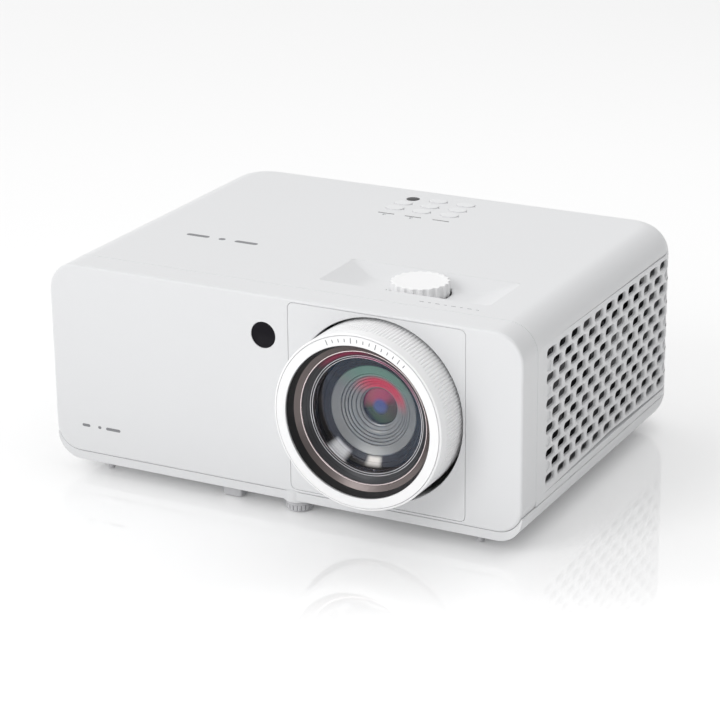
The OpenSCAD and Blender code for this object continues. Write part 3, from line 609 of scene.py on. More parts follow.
def make_panel():
    """Plate with softened edges, and a collar behind its hole."""
    panel = Shape()
    front, back, end = FACE_Y + 0.05, FACE_Y + 3, FACE_Y + 15
    rows = [at_y(panel_outline(-i), front + d) for i, d in quarter(SOFT, 3)]
    panel.loft(rows + [at_y(panel_outline(0), back)])
    panel.loft(hole_rows(slot_outline, front, end, 0.5) +
               [at_y(slot_outline(1.2), end), at_y(slot_outline(1.2), back)])
    panel.sheet(panel_outline(-SOFT), [slot_outline(0.5)], lambda x, z: (x, front, z))
    panel.sheet(panel_outline(0), [slot_outline(1.2)], lambda x, z: (x, back, z))
    return piece("lens_surround", panel, panel_white, instead=["lens_panel"])


make_panel()

# %% [markdown]
# ## Remote-control window
# The window is a disc of dark plastic that passes infrared. Its front is very slightly
# domed, so it catches a soft highlight where a flat disc would go dead black.
# %% Front window


def turned(profile, centre, axis="y", steps=96):
    """Rows of points from a profile of (radius, height) turned about a line along an axis."""
    rows = []
    for r, h in profile:
        turn = [2 * math.pi * i / steps for i in range(steps)]
        flat = [(r * math.cos(a), r * math.sin(a)) for a in turn]
        if axis == "y":
            rows.append([(centre[0] + u, h, centre[2] + v) for u, v in flat])
        else:
            rows.append([(centre[0] + u, centre[1] + v, h) for u, v in flat])
    return rows


def lathe(shape, profile, centre, axis="y", steps=96, closed=False):
    """Adds a turned profile. An open one gets a cap at each end; a closed one is a ring."""
    rows = turned(profile, centre, axis, steps)
    numbers = shape.loft(rows)
    if closed:
        shape.join(numbers[-1], numbers[0])
    else:
        shape.cap(rows[0])
        shape.cap(rows[-1])


def domed_disc(r, front, rise, back, steps=6):
    """Profile of a disc whose front bulges by rise."""
    bulge = [(r * i / steps, front - rise * (1 - (i / steps) ** 2)) for i in range(1, steps + 1)]
    return bulge + [(r, back)]


def make_front_window():
    """Domed dark disc in the bezel."""
    window = Shape()
    lathe(window, domed_disc(IR_R, FACE_Y + 0.35, 0.3, FACE_Y + 4), (IR_X, 0, IR_Z), steps=64)
    return piece("front_window", window, window_black, instead=["front_ir_window"])


make_front_window()

# %% [markdown]
# ## Upper case
# The upper case is a tray turned upside down: straight sides, a 16 mm round top edge, and
# round rear corners. Its skin is a grid. Stations run down one side, round the rear and
# back up the other, and each station carries the same section from the seam to the top.
# The side vents and the rear plate are windows left open in that grid.
# %% Stations round the case
BEND_Y = REAR_Y - REAR_R
CORNER_X = HALF_W - REAR_R
IO_LOW, IO_HIGH = box_mm("rear_io_plate")


def side_stations(front, marks, turns, soft):
    """Skin points and outward directions: right side, rear, left side."""
    right = [(HALF_W, front, 1, 0, soft)]
    right += [(HALF_W, y, 1, 0, 0) for y in marks]
    for a in turns:
        c, s = math.cos(math.radians(a)), math.sin(math.radians(a))
        right.append((CORNER_X + REAR_R * c, BEND_Y + REAR_R * s, c, s, 0))
    left = [(-x, y, -nx, ny, t) for x, y, nx, ny, t in reversed(right)]
    rear = [(x, REAR_Y, 0, 1, 0) for x in (IO_HIGH[0] + 0.2, IO_LOW[0] - 0.2)]
    return right + rear + left


window_end = math.degrees(math.asin((vent_high[1] - BEND_Y) / REAR_R))
case_turns = [window_end * i / 5 for i in range(6)]
case_turns += [window_end + (90 - window_end) * i / 5 for i in range(1, 6)]
case_stations = side_stations(case_low[1], [case_low[1] + SOFT, vent_low[1], 10], case_turns, SOFT)
print("stations round the upper case:", len(case_stations))

# %% Skin grid


def skin(stations, section, inside):
    """Grid of points: one row of points for each station, inside the skin by a wall."""
    grid = []
    for x, y, nx, ny, soft in stations:
        shrink = inside + (soft if inside == 0 else 0)
        grid.append([(x - nx * i, y - ny * i, z) for i, z in section(shrink)])
    return grid


def add_grid(shape, grid, windows=()):
    """Quads over a grid, without the cells inside the windows. Gives the point numbers."""
    numbers = [shape.row(column) for column in grid]
    for i in range(len(grid) - 1):
        for j in range(len(grid[0]) - 1):
            if any(a <= i < b and c <= j < d for a, b, c, d in windows):
                continue
            quad = (numbers[i][j], numbers[i + 1][j], numbers[i + 1][j + 1], numbers[i][j + 1])
            shape.faces.append(quad)
    return numbers


def window_rim(window):
    """Grid places round a window, in order."""
    a, b, c, d = window
    rim = [(i, c) for i in range(a, b)] + [(b, j) for j in range(c, d)]
    return rim + [(i, d) for i in range(b, a, -1)] + [(a, j) for j in range(d, c, -1)]


# %% Section of the upper case
ARC_LOW = TOP_Z - TOP_R
arc_turns = [0, math.degrees(math.asin((vent_high[2] - ARC_LOW) / TOP_R))]
arc_turns += [18 + 6 * i for i in range(13)]
case_levels = [SEAM_Z + GAP + SOFT, vent_low[2], IO_LOW[2] - 0.2, IO_HIGH[2] + 0.2]
ROW_VENT = (2, 2 + len(case_levels))
ROW_IO = (3, 4)


def upper_section(inside):
    """Inset and height from the seam up over the round edge, inside the skin."""
    soft = SOFT if inside < 1 else 0
    rows = [(inside + soft, SEAM_Z + GAP)] + [(inside, z) for z in case_levels]
    r = TOP_R - inside
    for a in arc_turns:
        rows.append((TOP_R - r * math.cos(math.radians(a)), ARC_LOW + r * math.sin(math.radians(a))))
    return rows


def case_windows():
    """Vent windows on both sides and the plate window at the rear, as grid ranges."""
    last = len(case_stations) - 1
    vent = (2, 9)
    rear = len(case_stations) // 2 - 1
    return [(*vent, *ROW_VENT), (last - vent[1], last - vent[0], *ROW_VENT), (rear, rear + 1, *ROW_IO)]


print("windows:", case_windows())

# %% [markdown]
# ## Recess in the top
# The dial sits in a dished recess with four soft slopes. A lofted tray would need its dial
# hole cut through two of the slopes. A height for every place in the rectangle is simpler:
# the slopes are distances to the four rims, the smallest wins, and rounding that choice
# rounds every crease.
# %% Height of the recess
DIAL_X, DIAL_Y, _ = middle("lens_shift_dial")
WELL_X = (DIAL_X - 49.5, DIAL_X + 47.5)
WELL_Y = (DIAL_Y - 18.5, DIAL_Y + 20.5)
FLOOR_X = (DIAL_X - 32, DIAL_X + 31)
FLOOR_Y = (DIAL_Y - 15, DIAL_Y + 10)
WELL_DEPTH = 5.5
CUP_R = 16.2
CUP_Z = TOP_Z - WELL_DEPTH - 5.5


def soft_low(a, b, blur):
    """The lower of two numbers, rounded where they cross."""
    h = max(blur - abs(a - b), 0) / blur
    return min(a, b) - h * h * blur / 4


def well_height(x, y):
    """Height below the top at a place in the recess."""
    slopes = [(x - WELL_X[0]) / (FLOOR_X[0] - WELL_X[0]), (WELL_X[1] - x) / (WELL_X[1] - FLOOR_X[1]),
              (y - WELL_Y[0]) / (FLOOR_Y[0] - WELL_Y[0]), (WELL_Y[1] - y) / (WELL_Y[1] - FLOOR_Y[1])]
    deep = 1.0
    for slope in slopes:
        deep = soft_low(deep, slope, 0.16)
    return -WELL_DEPTH * max(deep, 0)


def well_outline():
    """Rim of the recess."""
    return round_rect(*WELL_X, *WELL_Y, 2.5, 6)


def add_well(shape, drop, cup_r, cup_z):
    """Recess surface, and the cup that the dial turns in, lowered by a wall."""
    lines = []
    for i in range(1, 60):
        x = WELL_X[0] + (WELL_X[1] - WELL_X[0]) * i / 60
        lines.append([(x, WELL_Y[0] + 0.6), (x, WELL_Y[1] - 0.6)])
    for i in range(1, 30):
        y = WELL_Y[0] + (WELL_Y[1] - WELL_Y[0]) * i / 30
        lines.append([(WELL_X[0] + 0.6, y), (WELL_X[1] - 0.6, y)])
    cup = ring_points(DIAL_X, DIAL_Y, cup_r, 72)
    shape.sheet(well_outline(), [cup], lambda x, y: (x, y, TOP_Z - drop + well_height(x, y)), lines)
    top = [(x, y, TOP_Z - drop + well_height(x, y)) for x, y in cup]
    bottom = [(x, y, cup_z) for x, y in cup]
    shape.loft([top, bottom])
    shape.cap(bottom)


# %% Holes in the top
KEYS = [n for n in frame["nodes"] if n.startswith("key_")]
KEY_SPOTS = {k: middle(k) for k in KEYS}
KEY_SIZE = (10.5, 7.0)
TOP_IR = middle("top_ir_window")
BARS_LOW, BARS_HIGH = box_mm("status_light_bars")
BAR_Y = (BARS_LOW[1] + BARS_HIGH[1]) / 2
BAR_XS = sorted({round(KEY_SPOTS[k][0], 2) for k in KEYS})
print("keys at", {k: [round(c, 1) for c in v[:2]] for k, v in KEY_SPOTS.items()})


def top_openings():
    """Functions of a growth that give each small hole in the top."""
    holes = []
    for spot in KEY_SPOTS.values():
        holes.append(lambda g, s=spot: stadium(s[0], s[1], KEY_SIZE[0] + 0.24 + 2 * g,
                                               KEY_SIZE[1] + 0.24 + 2 * g))
    holes.append(lambda g: ring_points(TOP_IR[0], TOP_IR[1], 3.85 + g, 48))
    for x in BAR_XS:
        holes.append(lambda g, x=x: round_rect(x - 5.05 - g, x + 5.05 + g, BAR_Y - 0.55 - g,
                                               BAR_Y + 0.55 + g, 0.3, 3))
    return holes


def at_z(points, z):
    """Lays (x, y) points flat at a height."""
    return [(x, y, z) for x, y in points]


# %% Upper case


def make_upper_case():
    """Closed shell: two skins, joined round every edge and opening."""
    case = Shape()
    windows = case_windows()
    both = []
    for inside in (0, WALL):
        grid = skin(case_stations, upper_section, inside)
        numbers = add_grid(case, grid, windows)
        both.append(numbers)
        top = [column[-1] for column in grid]
        flat = top if inside else top[1:-1]
        level = TOP_Z - inside
        soft = 0 if inside else 0.15
        holes = [o(soft) for o in top_openings()] + [well_outline()]
        case.sheet([p[:2] for p in flat], holes, lambda x, y: (x, y, level))
        if not inside:
            case.faces.append((numbers[0][-1], numbers[1][-1], numbers[-2][-1], numbers[-1][-1]))
    outer, inner = both
    for window in windows:
        rim = window_rim(window)
        case.join([outer[i][j] for i, j in rim], [inner[i][j] for i, j in rim])
    case.join([c[0] for c in outer], [c[0] for c in inner], closed=False)
    case.join(outer[0] + outer[-1][::-1], inner[0] + inner[-1][::-1], closed=False)
    for opening in top_openings():
        rows = [at_z(opening(i), TOP_Z - d) for i, d in quarter(0.15, 2)]
        case.loft(rows + [at_z(opening(0), TOP_Z - WALL)])
    add_well(case, 0, CUP_R, CUP_Z)
    add_well(case, WALL, CUP_R + 2, CUP_Z - 2)
    return piece("upper_case", case, case_white, instead=["top_case"])


make_upper_case()

# %% [markdown]
# ## Vent panels
# The side grilles carry 132 slots each, in rows offset like brickwork, and they bend
# round the rear corner. Laying the pattern out flat and bending it afterwards is easier
# than placing slots on a curve: one distance runs along the side and on round the corner.
# Rows that start half a slot in get a blind half slot, which squares off the front end.
# %% Flat vent pattern
VENT_DEPTH = 2.0
SLOT_SIZE = (11.6, 4.6)
SLOT_PITCH = (15.26, 6.73)
FIRST_SLOT = (11.2, 98.2)
STRAIGHT = BEND_Y - vent_low[1]
VENT_END = STRAIGHT + math.radians(window_end) * REAR_R
SLOT_SOFT = 0.95
VENT_SLOT_R = 1.8
SLOT_ROWS = 11
BLIND_DEPTH = 1.0


def vent_slots():
    """Rectangles (s0, s1, z0, z1, open) of the pattern, laid flat."""
    slots = []
    for row in range(SLOT_ROWS):
        z = FIRST_SLOT[1] - row * SLOT_PITCH[1]
        low, high = z - SLOT_SIZE[1] / 2, z + SLOT_SIZE[1] / 2
        start = FIRST_SLOT[0] - SLOT_SIZE[0] / 2
        if row % 2:
            slots.append((start, start + SLOT_SIZE[0] / 2, low, high, False))
            start += SLOT_PITCH[0] / 2
        while start < VENT_END - 5:
            end = min(start + SLOT_SIZE[0], VENT_END - 2)
            slots.append((start, end, low, high, True))
            start += SLOT_PITCH[0]
    return slots


def vent_point(s, z, depth, side):
    """Place on the panel: s along the side, z up, depth in from the skin."""
    if z > ARC_LOW:
        depth += TOP_R - math.sqrt(TOP_R ** 2 - (z - ARC_LOW) ** 2)
    if s <= STRAIGHT:
        return (side * (HALF_W - depth), vent_low[1] + s, z)
    turn = (s - STRAIGHT) / REAR_R
    r = REAR_R - depth
    return (side * (CORNER_X + r * math.cos(turn)), BEND_Y + r * math.sin(turn), z)


# %% Bent vent panels


def slot_outline_at(slot, grow):
    """Outline of one slot, grown outward."""
    s0, s1, z0, z1, _ = slot
    return round_rect(s0 - grow, s1 + grow, z0 - grow, z1 + grow, VENT_SLOT_R + grow, 4)


def make_vent(name, side, node):
    """Panel with slots, bent round the rear corner."""
    panel = Shape()
    slots = vent_slots()
    edge = round_rect(-0.03, VENT_END + 0.03, vent_low[2] - 0.03, vent_high[2] + 0.03, 0.02, 1)
    bend = [[(STRAIGHT + 1.2 * i, vent_low[2] + 1), (STRAIGHT + 1.2 * i, vent_high[2] - 1)]
            for i in range(15)]
    ridge = [[(4, ARC_LOW + 1), (VENT_END - 4, ARC_LOW + 1)]]
    front = [slot_outline_at(s, SLOT_SOFT) for s in slots]
    back = [slot_outline_at(s, 0) for s in slots if s[4]]
    panel.sheet(edge, front, lambda s, z: vent_point(s, z, 0, side), bend + ridge)
    panel.sheet(edge, back, lambda s, z: vent_point(s, z, VENT_DEPTH, side), bend)
    panel.loft([[vent_point(s, z, d, side) for s, z in edge] for d in (0, VENT_DEPTH)])
    for slot in slots:
        deep = VENT_DEPTH if slot[4] else BLIND_DEPTH
        rows = [[vent_point(s, z, d, side) for s, z in slot_outline_at(slot, g)]
                for g, d in quarter(SLOT_SOFT, 3)]
        rows.append([vent_point(s, z, deep, side) for s, z in slot_outline_at(slot, 0)])
        panel.loft(rows)
        if not slot[4]:
            panel.cap(rows[-1])
    return piece(name, panel, case_white, instead=[node])


print("slots in each grille:", len(vent_slots()))
make_vent("right_grille", 1, "vent_panel_right")
make_vent("left_grille", -1, "vent_panel_left")

# %% [markdown]
# ## Lower case
# The lower case is a shallow tray with a 14 mm round bottom edge. Ahead of the bezel's seam
# it thins to a lip, because the bezel's own corner curves down inside it. So the lip is a
# solid bar whose section is the tray's curve less the bezel's, and it closes the corner.
# %% Lower case
LIP_Y = FACE_Y + 0.8
FEET = {"front_foot": middle("front_foot_pad"), "rear_left_foot": middle("rear_left_foot_pad"),
        "rear_right_foot": middle("rear_right_foot_pad")}
MOUNT_SPOTS = [(x * 90, y * 60) for x in (-1, 1) for y in (-1, 1)]


def lower_section(inside):
    """Inset and height from the seam down round the bottom edge."""
    soft = SOFT if inside < 1 else 0
    rows = [(inside + soft, SEAM_Z - GAP), (inside, SEAM_Z - GAP - SOFT)]
    r = BASE_R - inside
    for i in range(1, 13):
        a = math.radians(7.5 * i)
        rows.append((BASE_R - r * math.cos(a), SEAM_Z - r * math.sin(a)))
    return rows


def lip_outline(grow):
    """Closed section of the lip under the bezel, grown outward."""
    r, top = BASE_R + grow, SEAM_Z - GAP + grow
    outer = arc(HALF_W - BASE_R, SEAM_Z, r, -90, 0, 14)[:-1] + [(HALF_W + grow, top)]
    reach = 14 + GAP - grow
    drop = math.asin((FACE_Z + 14 - top) / reach)
    inner = arc(HALF_W - 14, FACE_Z + 14, reach, -math.degrees(drop), -90, 14)
    half = outer + inner
    return half + [(-x, z) for x, z in reversed(half)]


def make_lower_case():
    """Tray, front lip, and the bosses that the feet screw into."""
    case = Shape()
    start = bezel_high[1] + 2 * GAP
    stations = side_stations(start, [10], [9 * i for i in range(11)], 0)
    both = []
    for inside in (0, WALL):
        grid = skin(stations, lower_section, inside)
        both.append(add_grid(case, grid))
        edge = [column[-1][:2] for column in grid]
        wells = [ring_points(x, y, 3, 32) for x, y in MOUNT_SPOTS]
        level = BASE_Z + inside
        case.sheet(edge, wells, lambda x, y: (x, y, level))
    for x, y in MOUNT_SPOTS:
        case.loft([at_z(ring_points(x, y, 3, 32), BASE_Z + d) for d in (0, WALL)])
    outer, inner = both
    case.join([c[0] for c in outer], [c[0] for c in inner], closed=False)
    case.join(outer[0] + outer[-1][::-1], inner[0] + inner[-1][::-1], closed=False)
    lip = [at_y(lip_outline(-i), LIP_Y + d) for i, d in quarter(SOFT, 3)]
    lip.append(at_y(lip_outline(0), start))
    case.loft(lip)
    for row in (lip[0], lip[-1]):
        case.sheet([(x, z) for x, _, z in row], [], lambda x, z, y=row[0][1]: (x, y, z))
    for name, (x, y, _) in FEET.items():
        top = SEAM_Z - 8 if name == "front_foot" else SEAM_Z + 3
        lathe(case, [(5.1, 5.7), (8.2, 5.7), (8.6, 6.1), (8.6, top), (5.1, top)],
              (x, y, 0), "z", 48, closed=True)
    return piece("lower_case", case, case_white, instead=["bottom_case"])


make_lower_case()

# %% [markdown]
# ## Dial and keys
# The dial's edge is scalloped for a fingertip. Its outline is one formula: a circle with a
# bite taken wherever a small circle overlaps it. The keys are stadiums with a slight crown
# and sit 0.4 mm proud, so that a thumb finds them.
# %% Dial
DIAL_R = 15.3


def dial_outline(inset):
    """Scalloped circle, inset from its edge."""
    points = []
    for i in range(240):
        a = 2 * math.pi * i / 240
        off = math.remainder(a, 2 * math.pi / 20)
        reach = 16.15 * math.cos(off)
        bite = (1.85 + inset) ** 2 - (16.15 * math.sin(off)) ** 2
        r = DIAL_R - inset
        if bite > 0:
            r = min(r, reach - math.sqrt(bite))
        points.append((DIAL_X + r * math.cos(a), DIAL_Y + r * math.sin(a)))
    return points


def make_dial():
    """Scalloped knob with a shallow dish in its top, and the screw under it."""
    dial = Shape()
    top, bottom = dial_high[2], dial_high[2] - 7.6
    rows = [at_z(dial_outline(0.3), bottom), at_z(dial_outline(0), bottom + 0.3)]
    rows += [at_z(dial_outline(i), top - d) for i, d in reversed(quarter(0.35, 3))]
    for r, z in ((12.6, top), (12.2, top - 0.12), (11.8, top - 0.16)):
        rows.append(at_z(ring_points(DIAL_X, DIAL_Y, r, 240), z))
    dial.loft(rows)
    dial.cap(rows[0])
    dial.cap(rows[-1])
    lathe(dial, [(2.6, dial_low[2]), (3, dial_low[2] + 0.4), (3, bottom + 0.5)],
          (DIAL_X, DIAL_Y, 0), "z", 32)
    return piece("shift_knob", dial, ring_white, "shift_dial", ["lens_shift_dial"])


make_dial()


def make_cup_shade_washer():
    """Black washer in the cup under the dial: painted shade, where the hole under the dial shows dark.
    """
    shade_washer = Shape()
    low, high = CUP_Z + 0.05, TOP_Z - WELL_DEPTH - 0.5
    lathe(shade_washer, [(3.6, low), (16.05, low), (16.05, high), (15.9, high), (15.7, low + 0.5),
                   (3.6, low + 0.3)], (DIAL_X, DIAL_Y, 0), "z", 72, closed=True)
    return piece("cup_painted_shade", shade_washer, lens_black)


make_cup_shade_washer()

# %% Keys and lights


def make_key(name):
    """Crowned key cap with its skirt and plunger."""
    key = Shape()
    x, y, _ = KEY_SPOTS[name]
    low, high = box_mm(name)
    skirt = TOP_Z - WALL - 1.4
    steps = [(-1.2, skirt), (-1.2, skirt + 1.1), (0, skirt + 1.2), (0, high[2] - 0.35)]
    steps += [(0.1, high[2] - 0.15), (0.35, high[2] - 0.03), (1.2, high[2]), (2.6, high[2] - 0.02)]
    rows = [at_z(stadium(x, y, KEY_SIZE[0] - 2 * i, KEY_SIZE[1] - 2 * i, 8), z) for i, z in steps]
    key.loft(rows)
    key.cap(rows[0])
    key.cap(rows[-1])
    lathe(key, [(1.2, low[2]), (1.5, low[2] + 0.3), (1.5, skirt + 0.2)], (x, y, 0), "z", 24)
    return piece(f"{name}_cap", key, key_white, name, [name])


for key_name in KEYS:
    make_key(key_name)


def make_top_window():
    """Domed infrared window beside the keys."""
    window = Shape()
    profile = [(3.8 * i / 6, TOP_Z - 0.1 + 0.12 * (1 - (i / 6) ** 2)) for i in range(1, 7)]
    lathe(window, profile + [(3.8, TOP_Z - WALL)], (*TOP_IR[:2], 0), "z", 48)
    return piece("top_window", window, window_black, instead=["top_ir_window"])


def make_light_bars():
    """Three light pipes, rounded along their tops."""
    bars = Shape()
    for x in BAR_XS:
        rows = []
        for inset, z in ((0, TOP_Z - 3), (0, TOP_Z - 0.15), (0.12, TOP_Z - 0.04), (0.3, TOP_Z)):
            rows.append(at_z(round_rect(x - 5 + inset, x + 5 - inset, BAR_Y - 0.5 + inset,
                                        BAR_Y + 0.5 - inset, 0.3 - inset / 2, 3), z))
        bars.loft(rows)
        bars.cap(rows[0])
        bars.cap(rows[-1])
    return piece("light_bars", bars, light_grey_window, instead=["status_light_bars"])


make_top_window()
make_light_bars()

# %% [markdown]
# ## Printed marks and painted key shade
# Lettering and badges are left out. Where the real object prints something, a few plain
# dots and dashes of ink keep the look. A grey dot at the right end of each key is painted
# shade of its gap. Each is a thin pad with a rounded outline.
# %% Pads of ink and painted shade


def mark_pad(shape, outline, place, thick=0.03):
    """Low pad with a flat top; place(u, v, height) puts it on a surface."""
    rows = [[place(u, v, h) for u, v in outline] for h in (-0.02, thick)]
    shape.loft(rows)
    shape.cap(rows[0])
    shape.cap(rows[1])


def on_top(x, y, h):
    """Place on the flat top."""
    return (x, y, TOP_Z + h)


def on_face(x, z, h):
    """Place on the front face."""
    return (x, FACE_Y - h, z)


def in_well(x, y, h):
    """Place on the floor of the recess."""
    return (x, y, TOP_Z + well_height(x, y) + h)


FACE_DASHES = ((-118, 5), (-109.5, 2), (-101, 9))
TOP_DASHES = ((-88, 14), (-73, 4), (-58, 14))


def make_marks():
    """Painted shade dots at the keys' right ends, small signs by the lights, a scale by the dial."""
    ink_and_shade = Shape()
    # Painted shade: a grey dot at the right end of each key, where its gap is dark.
    for x, y, _ in KEY_SPOTS.values():
        mark_pad(ink_and_shade, ring_points(x + 5.9, y - 0.9, 0.42, 12), on_top)
    for x in BAR_XS[:2]:
        mark_pad(ink_and_shade, stadium(x, BAR_Y - 2.2, 2.4, 0.7, 4), on_top)
        mark_pad(ink_and_shade, ring_points(x, BAR_Y - 3.6, 0.5, 12), on_top)
    mark_pad(ink_and_shade, [(DIAL_X - 19.4, DIAL_Y - 6.4), (DIAL_X - 16.2, DIAL_Y - 6.4),
                  (DIAL_X - 17.8, DIAL_Y - 2.8)], in_well)
    for i in range(8):
        mark_pad(ink_and_shade, stadium(DIAL_X + 14 + 4.4 * i, DIAL_Y - 27, 2.6 - i % 2, 0.5, 3), on_top)
    for x, length in FACE_DASHES:
        mark_pad(ink_and_shade, stadium(x, 27.5, length, 1.6, 6), on_face)
    for x, length in TOP_DASHES:
        mark_pad(ink_and_shade, stadium(x, -24, length, 3.2, 6), on_top)
    return piece("printed_marks", ink_and_shade, print_grey, solid=True)


make_marks()

# %% [markdown]
# ## Focus ring
# The ring is smooth for its first few millimetres and finely ribbed behind, for grip. Its
# 160 ribs are a cubed cosine on the radius, which leaves wide crowns and narrow grooves, and
# they fade in over half a millimetre, so that they end in small ramps as cut ribs do. A
# separate name ring sits in the front, with a fine groove.
# %% Focus ring
RING_R = ring_high[0] - LENS_X
BARREL_R = 42.65
RIBS = 160


def depth(d):
    """Distance behind the front of the lens, as a Y."""
    return LENS_FRONT + d


def ring_row(d, r, rib):
    """Circle about the lens axis with ribs of a given height."""
    points = []
    for i in range(RIBS * 4):
        a = 2 * math.pi * i / (RIBS * 4)
        cut = rib * (0.5 - 0.5 * math.cos(a * RIBS)) ** 3
        points.append((LENS_X + (r - cut) * math.cos(a), depth(d), LENS_Z + (r - cut) * math.sin(a)))
    return points


def make_focus_ring():
    """Ribbed ring, closed round its bore."""
    ring = Shape()
    steps = [(1.2, 45.45, 0), (0.35, 45.45, 0), (0.2, 45.6, 0), (0.3, 46.1, 0), (0.7, RING_R, 0)]
    steps += [(6.4, RING_R, 0), (6.9, RING_R, 0.5), (27.3, RING_R, 0.5), (27.6, RING_R - 0.1, 0.1),
              (28, RING_R - 0.5, 0), (28, BARREL_R, 0), (3.7, BARREL_R, 0), (3.7, 40.45, 0),
              (1.2, 40.45, 0)]
    rows = ring.loft([ring_row(*step) for step in steps])
    ring.join(rows[-1], rows[0])
    return piece("grip_ring", ring, ring_white, "focus_ring", ["focus_ring"], 40)


def make_name_ring():
    """Flat ring in the front, without its lettering."""
    ring = Shape()
    profile = [(40.2, depth(0.9)), (40.2, depth(0.25)), (40.45, depth(0)), (45.0, depth(0)),
               (45.2, depth(0.2)), (45.2, depth(0.9))]
    lathe(ring, profile, (LENS_X, 0, LENS_Z), steps=192, closed=True)
    return piece("plain_name_ring", ring, ring_white, "focus_ring", ["lens_name_ring"])


def make_ring_ticks():
    """Short ink ticks where the ring would be lettered."""
    ticks = Shape()
    for i in range(14):
        a = math.radians(112 - 4.6 * i)
        turn = Matrix.Rotation(a, 2)
        pad = [turn @ Vector(p) for p in stadium(42.9, 0, 1.8 if i % 4 else 2.8, 0.45, 3)]
        outline = [(LENS_X + p.x, LENS_Z + p.y) for p in pad]
        mark_pad(ticks, outline, lambda u, v, h: (u, depth(0) - h, v))
    return piece("ring_ticks", ticks, print_grey, "focus_ring")


make_focus_ring()
make_name_ring()
make_ring_ticks()

# %% [markdown]
# ## Inside the lens
# Looking into a lens, the eye meets a black lining, a turned metal band, a dark cone, a
# bright retaining ring, and then grey steps down to a small dark pupil. Each is a turned
# profile about the axis. The glass lies in front of the steps, so it reflects over them.
# The coloured arcs and white glints on the parts behind the glass are painted reflections.
# %% Turned parts
turned_band = finish("turned_band", (0.135, 0.115, 0.112), 0.3, 0.35, 420.0, 0.25, 0.85, drift=0.75)
charcoal = finish("charcoal", (0.035, 0.036, 0.04), 0.3, 0.1, 3000.0, 0.01, 0.3, drift=0.2)
bead_metal = finish("bead_metal", (0.7, 0.61, 0.61), 0.2, 0.1, 900.0, 0.01, 0.9, drift=0.25)
bright_ring = finish("bright_ring", (0.55, 0.55, 0.57), 0.16, 0.05, 3000.0, 0.004, 1.0)
gloss_black = finish("gloss_black", (0.008, 0.007, 0.007), 0.3, 0.05, 3000.0, 0.001)
inner_grey = finish("inner_grey", (0.2, 0.205, 0.205), 0.34, 0.08, 3000.0, 0.006, 0.35, drift=0.1)
LENS_AXIS = (LENS_X, 0, LENS_Z)


def add_painted_reflection(material, colour, inner, outer, towards, start, end):
    """Paints a reflection: tints a ring about the lens axis on one side, for coating colours and white
    glints.
    """
    tree = material.node_tree
    shader = tree.nodes["Principled BSDF"]
    under = shader.inputs["Base Color"].links[0].from_socket
    flat = tree.nodes.new("ShaderNodeVectorMath")
    flat.operation = "MULTIPLY_ADD"
    flat.inputs[1].default_value = (1, 0, 1)
    flat.inputs[2].default_value = (-LENS_X * MM, 0, -LENS_Z * MM)
    tree.links.new(tree.nodes.new("ShaderNodeTexCoord").outputs["Object"], flat.inputs[0])
    far = tree.nodes.new("ShaderNodeVectorMath")
    far.operation = "LENGTH"
    tree.links.new(flat.outputs[0], far.inputs[0])
    way = tree.nodes.new("ShaderNodeVectorMath")
    way.operation = "DOT_PRODUCT"
    way.inputs[1].default_value = towards
    unit = tree.nodes.new("ShaderNodeVectorMath")
    unit.operation = "NORMALIZE"
    tree.links.new(flat.outputs[0], unit.inputs[0])
    tree.links.new(unit.outputs[0], way.inputs[0])
    masks = []
    for value, low, high in ((far.outputs["Value"], inner * MM, (inner + 2) * MM),
                             (far.outputs["Value"], outer * MM, (outer - 3) * MM),
                             (way.outputs["Value"], start, end)):
        ramp = tree.nodes.new("ShaderNodeMapRange")
        ramp.interpolation_type = "SMOOTHSTEP"
        ramp.inputs["From Min"].default_value = low
        ramp.inputs["From Max"].default_value = high
        tree.links.new(value, ramp.inputs["Value"])
        masks.append(ramp.outputs[0])
    share = math_node(tree, "MULTIPLY", math_node(tree, "MULTIPLY", *masks[:2]), masks[2])
    mix = tree.nodes.new("ShaderNodeMix")
    mix.data_type = "RGBA"
    mix.inputs["B"].default_value = (*colour, 1)
    tree.links.new(share, mix.inputs["Factor"])
    tree.links.new(under, mix.inputs["A"])
    tree.links.new(mix.outputs["Result"], shader.inputs["Base Color"])


# Painted reflections: green and red coating arcs on the grey steps, and a red arc on the dark cone.
add_painted_reflection(inner_grey, (0.15, 0.30, 0.24), 16.5, 26, (0.1, 0, 0.995), 0.3, 1.0)
add_painted_reflection(inner_grey, (0.62, 0.035, 0.09), 9.0, 17.5, (0.3, 0, 0.954), 0.1, 0.95)
add_painted_reflection(charcoal, (0.3, 0.03, 0.08), 31.5, 36, (-0.35, 0, 0.937), 0.85, 1.0)
# Painted reflections: two white glints of the surroundings in the black throat.
add_painted_reflection(gloss_black, (0.7, 0.71, 0.75), 24, 32, (-0.62, 0, -0.785), 0.972, 0.998)
add_painted_reflection(gloss_black, (0.85, 0.82, 0.78), 22.5, 29, (0.03, 0, -1), 0.982, 0.999)
# Painted reflection: a magenta coating arc on the bright ring.
add_painted_reflection(bright_ring, (0.5, 0.05, 0.2), 29.5, 33, (0.5, 0, 0.866), 0.6, 1.0)


def turned_ring(name, profile, material, node, steps=160):
    """Closed ring from a profile of (radius, depth) in the lens group."""
    ring = Shape()
    lathe(ring, [(r, depth(d)) for r, d in profile], LENS_AXIS, steps=steps, closed=True)
    return piece(name, ring, material, "lens_group", [node], 24)


